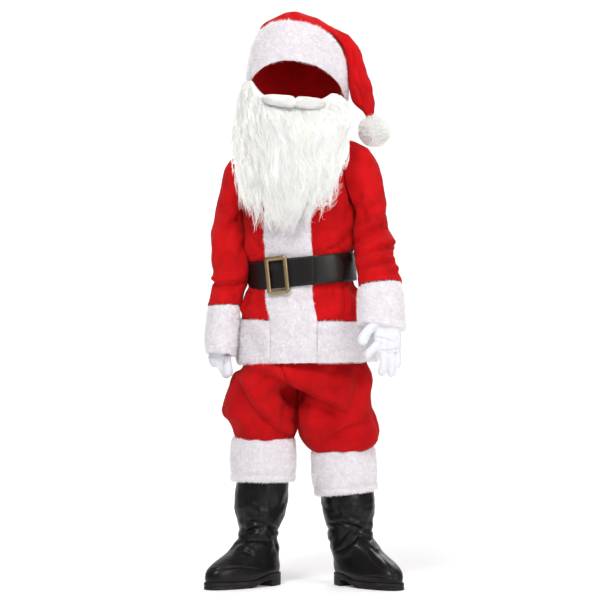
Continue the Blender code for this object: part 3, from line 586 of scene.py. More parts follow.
def makeGloveKnit():
    knit = Finish("gloveKnit", Roughness=0.9, Sheen_Weight=0.2, Specular_IOR_Level=0.2)
    spot = knit.place()
    x, y, z = parts(spot)
    turn = math.tau / gloveKnit["stitch"]
    column = ((x + y * 0.6) * turn).sine()
    loop = (z * turn * 1.25 + column * 1.4).sine()
    height = column.size() * 0.6 + loop.size() * 0.4
    fuzz = knit.cloud(spot, 700.0, 3.0, 0.6)
    # painted shade: the colour darkens in the dips of the knit, around its loops
    between = 1.0 - height * 0.75 - fuzz * 0.25
    knit.feed("Base Color", knit.mix(between, gloveKnit["colour"], gloveKnit["stitchShade"]))
    knit.feed("Normal", knit.bump(height + fuzz * 0.5, 0.0005, 0.55))
    return knit.material


beltLeather = dict(colour=rgb(14, 12, 11), scuff=rgb(44, 40, 36), pebble=0.0016)


def makeBeltLeather():
    hide = Finish("beltLeather", Specular_IOR_Level=0.22, Coat_Roughness=0.25)
    spot = hide.place()
    tail = hide.attribute("tail")
    grain = hide.cells(spot, 1.0 / beltLeather["pebble"], "SMOOTH_F1")
    lines = hide.cloud(spot, 420.0, 4.0, 0.65)
    wear = hide.cloud(spot, 34.0, 4.0, 0.65)
    worn = ((wear - 0.54) * 5.0).clamped()
    # painted highlight: the tail is lightened toward the scuff colour; elsewhere the scuffs are wear
    hide.feed("Base Color", hide.mix(worn * 0.45 + tail * 0.4, beltLeather["colour"], beltLeather["scuff"]))
    hide.feed("Roughness", 0.36 + grain * 0.12 + worn * 0.16 + lines * 0.1 - tail * 0.12)
    hide.feed("Coat Weight", 0.07 - worn * 0.06)
    hide.feed("Normal", hide.bump(grain * 0.8 + lines * 0.5, 0.0005, 0.4))
    return hide.material


bootVinyl = dict(colour=rgb(13, 11, 11), dust=rgb(48, 43, 39))


def makeBootVinyl():
    vinyl = Finish("bootVinyl", Specular_IOR_Level=0.20, Coat_Roughness=0.2)
    spot = vinyl.place()
    grain = vinyl.cells(spot, 620.0, "SMOOTH_F1")
    wrinkle = vinyl.cloud(vinyl.scaled(spot, (1.0, 1.0, 2.6)), 46.0, 4.0, 0.55)
    wear = vinyl.cloud(spot, 26.0, 4.0, 0.62)
    z = parts(spot)[2]
    low = ((z + 0.70) * -12.0).clamped()
    dusty = ((wear - 0.5) * 3.0).clamped() * low
    vinyl.feed("Base Color", vinyl.mix(dusty * 0.5, bootVinyl["colour"], bootVinyl["dust"]))
    vinyl.feed("Roughness", 0.29 + wear * 0.14 + dusty * 0.2)
    vinyl.feed("Coat Weight", 0.06 - dusty * 0.05)
    soft = vinyl.bump(wrinkle, 0.004, 0.22)
    vinyl.feed("Normal", vinyl.bump(grain, 0.0003, 0.18, soft))
    return vinyl.material


bootRubber = dict(colour=rgb(20, 18, 17), scuff=rgb(66, 60, 53))


def makeBootRubber():
    rubber = Finish("bootRubber", Specular_IOR_Level=0.25)
    spot = rubber.place()
    speck = rubber.cloud(spot, 500.0, 3.0, 0.7)
    wear = rubber.cloud(rubber.scaled(spot, (1.0, 1.0, 4.0)), 40.0, 4.0, 0.65)
    worn = ((wear - 0.48) * 4.0).clamped()
    rubber.feed("Base Color", rubber.mix(worn * 0.6, bootRubber["colour"], bootRubber["scuff"]))
    rubber.feed("Roughness", 0.48 + speck * 0.2 + worn * 0.15)
    rubber.feed("Normal", rubber.bump(speck + wear, 0.0006, 0.35))
    return rubber.material


antiqueBrass = dict(colour=rgb(148, 122, 84), tarnish=rgb(66, 52, 36), bright=rgb(214, 198, 160))


def makeAntiqueBrass():
    brass = Finish("antiqueBrass", Metallic=1.0)
    spot = brass.place()
    stain = brass.cloud(spot, 110.0, 4.0, 0.65)
    brushed = brass.cloud(brass.scaled(spot, (1.0, 1.0, 14.0)), 300.0, 3.0, 0.6)
    old = ((stain - 0.44) * 3.4).clamped()
    tone = brass.mix(brushed * 0.35, brass.mix(old * 0.8, antiqueBrass["colour"], antiqueBrass["tarnish"]),
                     antiqueBrass["bright"])
    brass.feed("Base Color", tone)
    brass.feed("Roughness", 0.26 + old * 0.22 + brushed * 0.12)
    brass.feed("Normal", brass.bump(brushed + stain, 0.0002, 0.3))
    return brass.material


def makeThread(name, colour, light):
    thread = Finish(name, Roughness=0.7, Specular_IOR_Level=0.3)
    twist = thread.cells(thread.place(), 1800.0)
    thread.feed("Base Color", thread.mix(twist, light, colour))
    return thread.material


finishes = dict(
    red=makeRedCloth(), furBase=makeFurBase(), furPile=makeFurPile(), beardBase=makeBeardBase(),
    hair=makeBeardStrand(), knit=makeGloveKnit(), leather=makeBeltLeather(), vinyl=makeBootVinyl(),
    rubber=makeBootRubber(), brass=makeAntiqueBrass(),
    blackThread=makeThread("blackThread", rgb(30, 28, 27), rgb(70, 66, 62)),
    redThread=makeThread("redThread", rgb(150, 4, 10), rgb(200, 24, 26)),
    whiteThread=makeThread("whiteThread", rgb(214, 214, 222), rgb(246, 246, 250)))
print("finishes ready:", len(finishes))


# The jacket: a back, two fronts and two sleeves, gathered by the belt

jacket = dict(
    rows=[
        # height, x, half width, half depth, roll
        (401, 15.0, 124.0, 97.0, 1.2), (438, 14.0, 121.0, 95.0, 1.2), (475, 12.5, 117.5, 92.0, -0.8),
        (503, 5.5, 112.5, 87.0, 2.2), (518, 0.8, 104.4, 79.0, 4.6), (536, -0.2, 96.4, 77.0, 5.6),
        (563, 3.5, 90.0, 75.0, 5.6), (591, 0.2, 95.0, 76.6, 5.6), (605, -0.5, 98.5, 80.5, 5.6),
        (628, -1.0, 100.0, 86.0, 5.4), (668, -1.0, 101.0, 84.0, 5.0), (705, 1.0, 102.5, 79.0, 5.0),
        (744, 2.0, 101.0, 73.0, 5.4), (770, 2.0, 94.0, 66.0, 5.6), (787, 2.0, 80.0, 60.0, 5.0),
        (799, 2.0, 62.0, 55.0, 4.0)],
    turn=-12.0, wall=2.0, rowSteps=int(118 * detail), columnSteps=int(78 * detail),
    hemTop=2.0, armpit=10.0, shoulder=13.5, neck=15.0, armholeWidth=33.0, armholeSteps=int(26 * detail),
    frontBand=(267.0, 43.0), seamGap=0.17, rimSpacing=3.4 / detail,
    skirt=(2.6, 3.4, 0.9), chest=(2.2, 8.4, 0.7),       # of waves in the cloth: depth, station, width
    heaps=((90.0, 12.0), (-108.0, 7.0)), heapWidth=22.0, heapFrom=752.0, heapRise=34.0,
    creases=dict(
        front=[
            # gathers under the belt
            ((77, 537), (79, 488), 4, 4.0, 3.4), ((92, 536), (97, 480), 2, 4.4, 3.8),
            ((62, 536), (60, 500), -2, 3.6, 2.2), ((46, 534), (48, 512), 1, 3.0, 1.6),
            ((-90, 528), (-102, 494), 3, 4.2, 3.0), ((-72, 530), (-76, 500), -2, 3.6, 2.2),
            ((-58, 531), (-56, 508), 1, 3.0, 1.4),
            # the cloth falling over the belt
            ((88, 632), (50, 600), 6, 5.0, 3.2), ((70, 606), (86, 588), -3, 3.6, 2.4),
            ((54, 604), (60, 588), 1, 3.0, 1.8), ((36, 602), (38, 588), 0, 2.8, 1.2),
            ((-88, 634), (-62, 596), -5, 4.6, 3.0), ((-72, 604), (-84, 588), 2, 3.4, 2.2),
            ((86, 690), (60, 640), 8, 7.0, 2.6), ((-84, 700), (-66, 650), -6, 7.0, 2.2),
            ((98, 712), (82, 668), 4, 6.0, 3.0), ((-96, 712), (-84, 664), -4, 6.0, 2.8)],
        back=[
            ((-70, 536), (-76, 486), -3, 4.2, 3.2), ((-44, 536), (-42, 498), 2, 3.8, 2.4),
            ((-16, 536), (-20, 492), -2, 4.2, 3.0), ((12, 536), (14, 500), 1, 3.8, 2.2),
            ((38, 536), (34, 488), 2, 4.2, 3.2), ((66, 536), (74, 492), -3, 4.0, 2.8),
            ((-64, 632), (-52, 592), 4, 4.6, 2.8), ((-26, 618), (-24, 590), 1, 3.8, 2.0),
            ((8, 626), (10, 590), -1, 4.2, 2.4), ((40, 616), (36, 590), 1, 3.8, 2.0),
            ((70, 634), (60, 592), -4, 4.6, 2.8),
            ((-78, 706), (-48, 672), 7, 7.0, 2.6), ((80, 712), (46, 682), -7, 7.0, 2.4),
            ((-52, 752), (44, 744), -9, 8.0, 2.0)],
        right=[((-30, 532), (-34, 488), 2, 4.0, 3.0), ((-6, 534), (-4, 494), -1, 4.0, 2.6),
               ((22, 534), (28, 490), 2, 4.2, 3.0), ((-24, 628), (-18, 592), 2, 4.4, 2.6),
               ((14, 624), (10, 592), -2, 4.2, 2.4)],
        left=[((-26, 534), (-30, 490), 2, 4.0, 3.0), ((2, 536), (4, 498), -1, 4.0, 2.4),
              ((28, 536), (34, 492), 2, 4.2, 3.0), ((-20, 632), (-14, 596), 2, 4.4, 2.6),
              ((18, 626), (12, 594), -2, 4.2, 2.4)]),
    flat=dict(back=(0.33, 0.36), front=(0.17, 0.36), sleeve=(0.25, 0.25)))


def jacketSurface(stations, degrees, out=0.0):
    # 0 degrees is the wearer's left and 270 the centre front
    stations, degrees, out = np.broadcast_arrays(stations, degrees, out)
    height, x, halfWidth, halfDepth, roll = alongTable(jacket["rows"], stations)
    across, deep = roundedBox(np.radians(degrees), halfWidth + out, halfDepth + out)
    turn, roll = math.radians(jacket["turn"]), np.radians(roll)
    wide = across * math.cos(turn) - deep * math.sin(turn)
    return np.stack([x + wide * np.cos(roll), across * math.sin(turn) + deep * math.cos(turn),
                     height + wide * np.sin(roll)], axis=-1)


def jacketCloth(stations, degrees):
    stations, degrees = np.broadcast_arrays(stations, degrees)
    depth, middle, width = jacket["skirt"]
    skirt = depth * bell(stations, middle, width) * (
        np.sin(np.radians(degrees * 9.0)) + 0.5 * np.sin(np.radians(degrees * 14.0 + 60.0)))
    depth, middle, width = jacket["chest"]
    chest = depth * bell(stations, middle, width) * np.sin(np.radians(degrees * 7.0 + 40.0))
    underBand = 1.0 - bell(degrees, jacket["frontBand"][0], 32.0, 4)
    return jacketSurface(stations, degrees, (skirt + chest) * underBand)


def shoulderEase(grid):
    # the cloth is heaped a little over each shoulder's point
    heap = sum(high * bell(grid[..., 0], x, jacket["heapWidth"]) for x, high in jacket["heaps"])
    lifted = grid.copy()
    lifted[..., 2] += heap * smoothStep((grid[..., 2] - jacket["heapFrom"]) / jacket["heapRise"])
    return lifted


def armholeGap(stations):
    step = np.clip((stations - jacket["armpit"]) / (jacket["shoulder"] - jacket["armpit"]), 0.0, 1.0)
    return jacket["armholeWidth"] * np.sin(math.pi * step) ** 0.7


def jacketPanel(name, sideStart, sideEnd, columns, seed):
    stations = np.linspace(jacket["hemTop"] + 0.02, jacket["neck"], jacket["rowSteps"])[:, None]
    gap = armholeGap(stations)
    start = sideStart + jacket["seamGap"] + (gap if sideStart % 180 == 0 else 0.0)
    end = sideEnd - jacket["seamGap"] - (gap if sideEnd % 180 == 0 else 0.0)
    degrees = start + (end - start) * np.linspace(0.0, 1.0, columns)[None, :]
    grid = shoulderEase(jacketCloth(stations, degrees))
    pressed = bell(stations, 6.0, 1.0, 6)
    bandHidden = bell(degrees, jacket["frontBand"][0], 24.0, 4)
    calm = (1.0 - pressed) * (1.0 - bandHidden)
    normals = gridNormals(grid)
    laid = creased(grid, normals, jacket["creases"])
    laid = laid + ripple(grid, 62.0, seed, 1.0) + ripple(grid, 24.0, seed + 1, 0.35)
    grid = grid + normals * (laid * calm + rimIn(columns, jacket["rimSpacing"]))[..., None]
    return addShell(name, grid, finishes["red"], 0.0, jacket["wall"] - 0.3)


sleeves = dict(
    right=dict(
        rows=[
            # outer x, height, inner x, height, y, half depth, pitch
            (-107, 776, -102, 661, 18, 40, 0), (-124, 766, -103, 655, 16, 42, 0),
            (-137, 742, -101, 647, 13, 42, 0),
            (-145, 708, -99.5, 636, 10, 40, 0), (-152, 671, -97.5, 621, 6, 38, 0),
            (-158, 638, -97.5, 604, 2, 36, 0),
            (-160, 603, -94.5, 586, -2, 35, 0), (-159, 574, -92.5, 567, -6, 34, 2),
            (-155, 548, -93, 545, -9, 32, 4),
            (-160, 526, -99, 524, -12, 33, 5), (-166, 502, -106, 502, -14, 34, 5)],
        side=180.0,
        creases=dict(
            front=[
                ((-158, 540), (-98, 544), -5, 5.5, 7.5), ((-138, 622), (-100, 664), 4, 7.0, 6.5),
                ((-140, 640), (-150, 566), 5, 7.0, 4.4), ((-122, 620), (-118, 560), -4, 7.0, 5.0),
                ((-104, 612), (-110, 562), -2, 5.4, 4.4), ((-118, 694), (-104, 640), 3, 7.0, 5.0),
                ((-146, 532), (-152, 508), 1, 3.6, 1.8), ((-118, 536), (-116, 508), -1, 3.6, 2.0),
                ((-130, 730), (-140, 676), 6, 8.0, 1.8)],
            back=[
                ((-157, 544), (-103, 538), 4, 4.4, 4.2), ((-150, 600), (-104, 622), 6, 6.0, 3.2),
                ((-136, 690), (-108, 660), -5, 7.0, 3.0), ((-138, 580), (-144, 552), 2, 5.0, 2.4)],
            right=[((-26, 541), (18, 546), 3, 4.2, 3.6), ((-18, 640), (6, 570), 6, 7.0, 2.4),
                   ((30, 660), (18, 590), -5, 7.0, 2.2)])),
    left=dict(
        rows=[
            (103, 795, 102, 676, -18, 40, 0), (121, 784, 99.5, 668, -19, 42, 0),
            (137, 761, 98, 658, -20, 42, 0),
            (147, 732, 95, 646, -22, 40, 0), (152, 700, 94.5, 632, -25, 38, 0),
            (155, 667, 96, 618, -28, 36, 4),
            (159, 637, 96.5, 606, -34, 35, 12), (167, 612, 96.5, 596, -42, 34, 20),
            (166, 588, 97.5, 583, -54, 33, 28),
            (175, 566, 100, 563, -69, 32, 24), (181, 541, 103, 536, -84, 32, 16)],
        side=0.0,
        creases=dict(
            front=[
                ((102, 616), (162, 642), 6, 5.6, 6.2), ((101, 588), (170, 604), 6, 5.6, 6.6),
                ((104, 566), (172, 578), 5, 5.0, 5.6), ((110, 547), (180, 561), 4, 4.4, 4.4),
                ((100, 648), (138, 680), 5, 7.0, 6.4), ((148, 594), (174, 590), -2, 4.0, 4.4),
                ((106, 702), (118, 652), -4, 7.0, 5.0), ((138, 742), (146, 690), -5, 8.0, 1.8)],
            back=[
                ((104, 640), (158, 622), -5, 5.4, 3.6), ((104, 606), (166, 600), -4, 5.0, 3.8),
                ((108, 572), (172, 584), 4, 4.6, 3.4), ((108, 700), (142, 664), 6, 7.0, 2.8)],
            left=[((-60, 596), (0, 628), 5, 5.0, 3.6), ((-80, 570), (-24, 600), 4, 4.6, 3.4),
                  ((-50, 650), (-4, 680), 5, 7.0, 2.2), ((-92, 552), (-60, 566), 3, 4.0, 2.6)])))


def tubeRings(rows, stations, columns):
    outerX, outerHeight, innerX, innerHeight, y, halfDepth, pitch = (
        value[:, None] for value in alongTable(rows, stations))
    angles = math.tau * np.arange(columns)[None, :] / columns
    across, deep = roundedBox(angles, 1.0, 1.0, 2.2)
    halfX, halfHeight = (outerX - innerX) / 2.0, (outerHeight - innerHeight) / 2.0
    side = -1.0 if halfX.sum() < 0.0 else 1.0
    pitch = np.radians(pitch)
    return np.stack([(outerX + innerX) / 2.0 + halfX * side * across, y + halfDepth * deep * np.cos(pitch),
                     (outerHeight + innerHeight) / 2.0 + halfHeight * side * across
                     - halfDepth * deep * np.sin(pitch)], axis=-1)


def armholeRing(side):
    levels = np.linspace(jacket["armpit"], jacket["shoulder"], jacket["armholeSteps"] + 1)
    levels[0] += 0.05
    levels[-1] -= 0.04
    gap = np.maximum(armholeGap(levels) - 0.45, 0.0)
    front, back = (-gap, gap) if side == 0 else (gap, -gap)
    ahead, behind = jacketCloth(levels, side + front), jacketCloth(levels, side + back)
    if side == 0:
        return np.concatenate([behind[::-1], ahead[1:-1]])
    return np.concatenate([behind, ahead[::-1][1:-1]])


def makeSleeve(name, made, seed):
    columns = 2 * jacket["armholeSteps"]
    rings = tubeRings(made["rows"], np.linspace(0.4, 10.0, int(88 * detail)), columns)
    grid = np.concatenate([armholeRing(made["side"])[None], rings])
    # the sleeve's head is eased into the armhole over its first rings
    first = int(9 * detail)
    for ring in range(1, first):
        share = smoothStep(ring / first)
        straight = (grid[first] - grid[0]) * ring / first
        grid[ring] = grid[0] + straight * (1.0 - share) + (grid[ring] - grid[0]) * share
    along = np.linspace(0.0, 1.0, len(grid))[::-1, None]
    grid = shoulderEase(grid[::-1])
    around = np.linspace(0.0, math.tau, columns, endpoint=False)[None, :]
    swell = 1.6 * bell(along, 0.72, 0.2) * np.sin(along * 40.0 + around * 2.0)
    normals = gridNormals(grid, True)
    laid = creased(grid, normals, made["creases"])
    free = smoothStep(along * 9.0 - 0.35) * smoothStep((1.02 - along) * 14.0)
    laid = (laid + 0.6 * swell + ripple(grid, 48.0, seed, 0.9) + ripple(grid, 19.0, seed + 1, 0.3)) * free
    grid = grid + normals * laid[..., None]
    return addShell(name, grid, finishes["red"], 0.0, jacket["wall"] - 0.3, closed=True)


def makeJacket():
    backSteps, frontSteps = int(jacket["columnSteps"] * 1.6), int(jacket["columnSteps"] * 0.9)
    pieces = {
        "jacket_back": jacketPanel("jacketBack", 0, 180, backSteps, 11),
        "jacket_front_right": jacketPanel("jacketFrontRight", 180, 270, frontSteps, 12),
        "jacket_front_left": jacketPanel("jacketFrontLeft", 270, 360, frontSteps, 13),
        "jacket_sleeve_right": makeSleeve("jacketSleeveRight", sleeves["right"], 14),
        "jacket_sleeve_left": makeSleeve("jacketSleeveLeft", sleeves["left"], 15)}
    for node, piece in pieces.items():
        wears(piece, node)
        printArea(piece)


makeJacket()
print("jacket ready")


# Plush pile: short bent blades over a backing, leaning together in tufts

pile = dict(perSquareMetre=620000.0 * 1.0, length=0.0036, width=0.00075,
            lean=0.9, tuft=0.010, droop=0.35)


def pileValues(seed, **changes):
    values = {"Density": pile["perSquareMetre"], "Length": pile["length"], "Width": pile["width"],
              "Lean": pile["lean"], "Tuft": pile["tuft"], "Droop": pile["droop"], "Seed": seed,
              "Finish": finishes["furPile"]}
    values.update(changes)
    return values


def newTree(name, inputs):
    tree = bpy.data.node_groups.new(name, "GeometryNodeTree")
    tree.interface.new_socket("Geometry", in_out="INPUT", socket_type="NodeSocketGeometry")
    kinds = {float: "NodeSocketFloat", int: "NodeSocketInt"}
    for label, value in inputs.items():
        kind = "NodeSocketMaterial" if label == "Finish" else kinds[type(value)]
        socket = tree.interface.new_socket(label, in_out="INPUT", socket_type=kind)
        if label != "Finish":
            socket.default_value = value
    tree.interface.new_socket("Geometry", in_out="OUTPUT", socket_type="NodeSocketGeometry")
    made = Tree(tree)
    entry = tree.nodes.new("NodeGroupInput")
    given = {socket.name: Wire(made, socket) for socket in entry.outputs if socket.name}
    return made, given


def endTree(made, geometry, finish):
    whole = made.node("GeometryNodeRealizeInstances", None, {"Geometry": geometry})
    dressed = made.node("GeometryNodeSetMaterial", None, {"Geometry": whole, "Material": finish})
    leave = made.tree.nodes.new("NodeGroupOutput")
    made.tree.links.new(dressed.socket, leave.inputs["Geometry"])


def grown(source, tree, values, name):
    # runs a tree on an object and keeps the result as a plain mesh
    modifier = source.modifiers.new("grow", "NODES")
    modifier.node_group = tree
    for item in tree.interface.items_tree:
        if item.item_type == "SOCKET" and item.in_out == "INPUT" and item.name in values:
            modifier[item.identifier] = values[item.name]
    source.update_tag()
    bpy.context.view_layer.update()
    evaluated = source.evaluated_get(bpy.context.evaluated_depsgraph_get())
    mesh = bpy.data.meshes.new_from_object(evaluated)
    mesh.name = name
    mesh.materials.clear()
    mesh.materials.append(values["Finish"])
    mesh.polygons.foreach_set("material_index", np.zeros(len(mesh.polygons), dtype=np.int32))
    made = linked(name, mesh)
    source.modifiers.clear()
    bpy.data.objects.remove(source, do_unlink=True)
    return made


def makePileTree():
    tree, given = newTree("plushPileTree", pileValues(1, Finish=None))
    blade = tree.node("GeometryNodeMeshGrid", None,
                      {"Size X": 1.0, "Size Y": 1.0, "Vertices X": 2, "Vertices Y": 3})
    x, y, _ = parts(tree.node("GeometryNodeInputPosition"))
    rise = y + 0.5
    bent = tree.combined(X=x * (1.0 - rise * 0.82), Y=rise * rise * 0.45, Z=rise)
    blade = tree.stored(blade, "tip", rise)
    blade = tree.node("GeometryNodeSetPosition", None, {"Geometry": blade, "Position": bent})
    points = tree.node("GeometryNodeDistributePointsOnFaces", {"distribute_method": "RANDOM"},
                       {"Mesh": given["Geometry"], "Density": given["Density"], "Seed": given["Seed"]})
    normal = Wire(tree, points.socket.node.outputs["Normal"])
    where = tree.node("GeometryNodeInputPosition")
    flow = tree.node("ShaderNodeTexNoise", {"noise_dimensions": "3D"},
                     {"Vector": where, "Scale": 1.0 / given["Tuft"], "Detail": 1.0}, "Color")
    centred = tree.vectors("SUBTRACT", flow, (0.5, 0.5, 0.5))
    swept = tree.vectors("SCALE", centred, given["Lean"] * 4.0)
    odd = tree.node("FunctionNodeRandomValue", {"data_type": "FLOAT_VECTOR"},
                    {"Min": (-0.35, -0.35, -0.35), "Max": (0.35, 0.35, 0.35), "Seed": given["Seed"]})
    heading = tree.vectors("ADD", tree.vectors("ADD", normal, swept), odd)
    heading = tree.vectors("ADD", heading, tree.combined(Z=given["Droop"] * -1.0))
    turned = tree.alignedTo(heading)
    spin = tree.chance(0.0, math.tau, given["Seed"])
    spun = tree.node("FunctionNodeAxisAngleToRotation", None, {"Axis": (0.0, 0.0, 1.0), "Angle": spin})
    turned = tree.node("FunctionNodeRotateRotation", {"rotation_space": "LOCAL"},
                       {"Rotation": turned, "Rotate By": spun})
    tall = given["Length"] * tree.chance(0.7, 1.15, given["Seed"], ID=7)
    size = tree.combined(X=given["Width"], Y=tall, Z=tall)
    blades = tree.node("GeometryNodeInstanceOnPoints", None,
                       {"Points": points, "Instance": blade, "Rotation": turned, "Scale": size})
    blades = tree.stored(blades, "odd", tree.chance(0.0, 1.0, given["Seed"]), "INSTANCE")
    endTree(tree, blades, given["Finish"])
    return tree.tree


pileTree = makePileTree()


def furPiece(name, node, grid, outside, inside, closed, seed, sunk=2.0, lip=True, **changes):
    # a smooth backing a little inside the fur's depth, and the pile that stands on it
    backing = addShell(name + "Backing", grid, finishes["furBase"], outside - sunk, inside, closed)
    wears(backing, node)
    surface = pushed(grid, outside - sunk, closed)
    if lip:
        # the pile also rolls over the rims and a little way inside
        inner = pushed(grid, -inside * 0.9, closed)
        rim = max(len(grid) // 9, 2)
        surface = np.concatenate([inner[rim:0:-1], surface, inner[-2:-rim - 2:-1]])
    faces = gridFaces(*surface.shape[:2], closed).tolist()
    source = addMesh(name + "Skin", surface, faces, None)
    blades = grown(source, pileTree, pileValues(seed, **changes), name + "Pile")
    wears(blades, node)
    printFaces(blades)


def pileDepth(rows, height, edge):
    across = np.linspace(-1.0, 1.0, rows)
    return edge + (height - edge) * (1.0 - np.abs(across) ** 3.0)


trim = dict(
    face=5.0, back=3.0, cuffFace=4.0,
    cuffs=dict(
        right=dict(rows=[(-163.5, 498, -110.5, 500, -15, 40, 5), (-166, 458, -113, 456, -18, 41, 5),
                         (-168.5, 419, -116, 413, -21, 41, 5)], back=8.0),
        left=dict(rows=[(178, 541, 105.5, 533, -87, 33, 13), (181.5, 500, 104.5, 502, -108, 35, 11),
                        (184, 460, 103, 472, -126, 35, 8)], back=11.0)),
    legs=dict(
        right=[(-9, 263, -123, 264, 2, 57, 0), (-8, 225, -125, 226, 2, 58, 0),
               (-9, 188, -124, 188, 2, 57, 0)],
        left=[(134, 248, 20, 240, 2, 57, 0), (138, 210, 22, 201, 2, 58, 0), (139, 172, 27, 161, 2, 57, 0)]),
    legBack=7.5,
    # how far the leg's fur stands out, from the turned-up roll at its foot to the seam at its top
    legShares=[0.0, 0.07, 0.14, 0.19, 0.28, 0.5, 0.8, 0.93, 1.0],
    legFace=[-0.6, 1.6, 1.4, -1.0, 0.8, 1.4, 1.3, 0.6, -1.2])


def bandDegrees(stations, share):
    halfWidth = alongTable(jacket["rows"], stations)[2]
    centre, half = jacket["frontBand"]
    reach = np.minimum(np.abs(share) * half / halfWidth, 0.95) ** 1.15
    return centre + np.degrees(np.sign(share) * np.arcsin(reach))


def frontBandFur():
    stations = np.linspace(0.0, jacket["neck"] - 0.35, int(150 * detail))[:, None]
    shares = np.linspace(-1.0, 1.0, int(30 * detail))[None, :]
    stations, shares = np.broadcast_arrays(stations, shares)
    grid = jacketCloth(stations, bandDegrees(stations, shares))
    pressed = bell(stations, 6.0, 1.9, 4)
    face = trim["face"] * (1.0 - 0.55 * pressed)
    outside = 2.7 + (face - 1.8) * (1.0 - np.abs(shares) ** 3.0)
    outside = outside + ripple(grid, 34.0, 21, 0.7) * (1.0 - pressed)
    furPiece("frontBandFur", "jacket_fur_front_band", grid, outside, -0.6, False, 31, lip=False)


def hemFur(name, node, start, end, seed):
    stations = np.linspace(0.0, jacket["hemTop"] - 0.03, int(30 * detail))[:, None]
    low = bandDegrees(stations, np.array(1.0)) + 0.1 if start is None else start
    high = bandDegrees(stations, np.array(-1.0)) - 0.1 if end is None else end
    degrees = low + (high - low) * np.linspace(0.0, 1.0, int(96 * detail))[None, :]
    grid = jacketSurface(*np.broadcast_arrays(stations, degrees))
    outside = pileDepth(len(grid), trim["face"] + 1.0, 2.0)[:, None] + ripple(grid, 52.0, seed, 1.2)
    inside = pileDepth(len(grid), trim["back"], 1.5)[:, None]
    furPiece(name, node, grid, outside, inside, False, seed, Length=0.0042)


def cuffFur(name, node, made, seed):
    grid = tubeRings(made["rows"], np.linspace(2.0, 0.0, int(34 * detail)), int(72 * detail))
    outside = pileDepth(len(grid), trim["cuffFace"], 1.8)[:, None] + ripple(grid, 44.0, seed, 0.9)
    inside = pileDepth(len(grid), made["back"], made["back"] * 0.6)[:, None]
    furPiece(name, node, grid, outside, inside, True, seed)


def legFur(name, node, rows, seed):
    grid = tubeRings(rows, np.linspace(2.0, 0.0, int(36 * detail)), int(110 * detail))
    outside = np.interp(np.linspace(0.0, 1.0, len(grid)), trim["legShares"], trim["legFace"])[:, None]
    outside = outside + ripple(grid, 56.0, seed, 1.0)
    furPiece(name, node, grid, outside, trim["legBack"], True, seed)


frontBandFur()
hemFur("hemFurLeft", "jacket_fur_hem_left", None, 449.8, 32)
hemFur("hemFurRight", "jacket_fur_hem_right", 90.2, None, 33)
cuffFur("cuffFurRight", "jacket_fur_cuff_right", trim["cuffs"]["right"], 34)
cuffFur("cuffFurLeft", "jacket_fur_cuff_left", trim["cuffs"]["left"], 35)
legFur("legFurRight", "leg_fur_cuff_right", trim["legs"]["right"], 36)
legFur("legFurLeft", "leg_fur_cuff_left", trim["legs"]["left"], 37)
print("fur trim ready")


# The hat: a long crown folded over to the left, a fur band and a pompom

hat = dict(
    rows=[
        (-90, 876, 79, 861, 0, 90, 20), (-85, 922, 76, 908, 12, 86, 20), (-77, 968, 70, 948, 24, 80, 20),
        (-70, 999, 69, 962, 30, 74, 16), (-48, 1018, 70, 968, 32, 66, 12), (-15, 1030, 72, 972, 32, 58, 6),
        (25, 1022, 75, 972, 30, 50, 0), (58, 1006, 77, 964, 26, 42, 0), (88, 989, 78, 950, 20, 36, 0),
        (109, 963, 80, 944, 12, 31, 0), (117, 934, 84.5, 929, 4, 28, 0), (127, 902, 87, 897, -6, 25, 0),
        (133, 868, 95, 866, -16, 21, 0), (132.5, 851, 111, 850, -22, 13, 0),
        (132, 836, 121, 836, -26, 7, 0)],
    bandTop=2.0, arch=22.0, turn=-9.0, brow=274.0, flat=(0.46, 0.46), pompom=(133.5, -27.0, 815.0, 29.0),
    pompomPile=dict(Length=0.0058, Width=0.0008, Lean=0.8, Tuft=0.012, Droop=0.2),
    creases=dict(
        front=[
            ((-16, 1026), (-10, 1004), 3, 3.4, 3.2), ((-34, 1018), (-22, 996), 3, 4.0, 2.4),
            ((22, 1016), (58, 984), 5, 4.6, 2.4), ((62, 1000), (84, 962), 4, 4.2, 2.6),
            ((88, 976), (94, 926), 3, 4.2, 3.0), ((104, 948), (110, 892), -3, 4.4, 2.8),
            ((120, 916), (116, 868), 2, 3.8, 2.6), ((98, 900), (110, 866), 2, 3.4, 2.4)],
        back=[
            ((-30, 1010), (4, 984), 4, 5.0, 3.0), ((-56, 990), (-40, 962), 3, 5.0, 2.6),
            ((22, 1004), (62, 986), -4, 5.0, 3.0), ((70, 990), (92, 952), 4, 4.4, 3.0),
            ((98, 950), (106, 896), -3, 4.4, 3.0), ((118, 910), (114, 866), 2, 3.8, 2.6)],
        right=[((30, 1000), (56, 972), 4, 5.0, 2.6), ((0, 1000), (6, 976), 2, 4.0, 2.2)],
        left=[((4, 940), (-8, 890), 3, 4.2, 2.6), ((20, 958), (10, 912), 2, 4.2, 2.4)]))


def arched(grid, weights):
    # the hat is pushed up at the brow
    angles = math.tau * np.arange(grid.shape[1])[None, :] / grid.shape[1]
    facing = np.cos(angles - math.radians(hat["brow"] + hat["turn"]))
    raised = grid.copy()
    raised[..., 2] += hat["arch"] * np.asarray(weights)[:, None] * (0.5 + 0.5 * facing) ** 2
    return raised


def archWeights(stations):
    # most at the brow's edge, and none past the band
    return np.clip(1.0 - (stations - 2.0) / 1.5, 0.0, 1.0) + 0.7 * np.clip(1.0 - stations / 2.0, 0.0, 1.0)


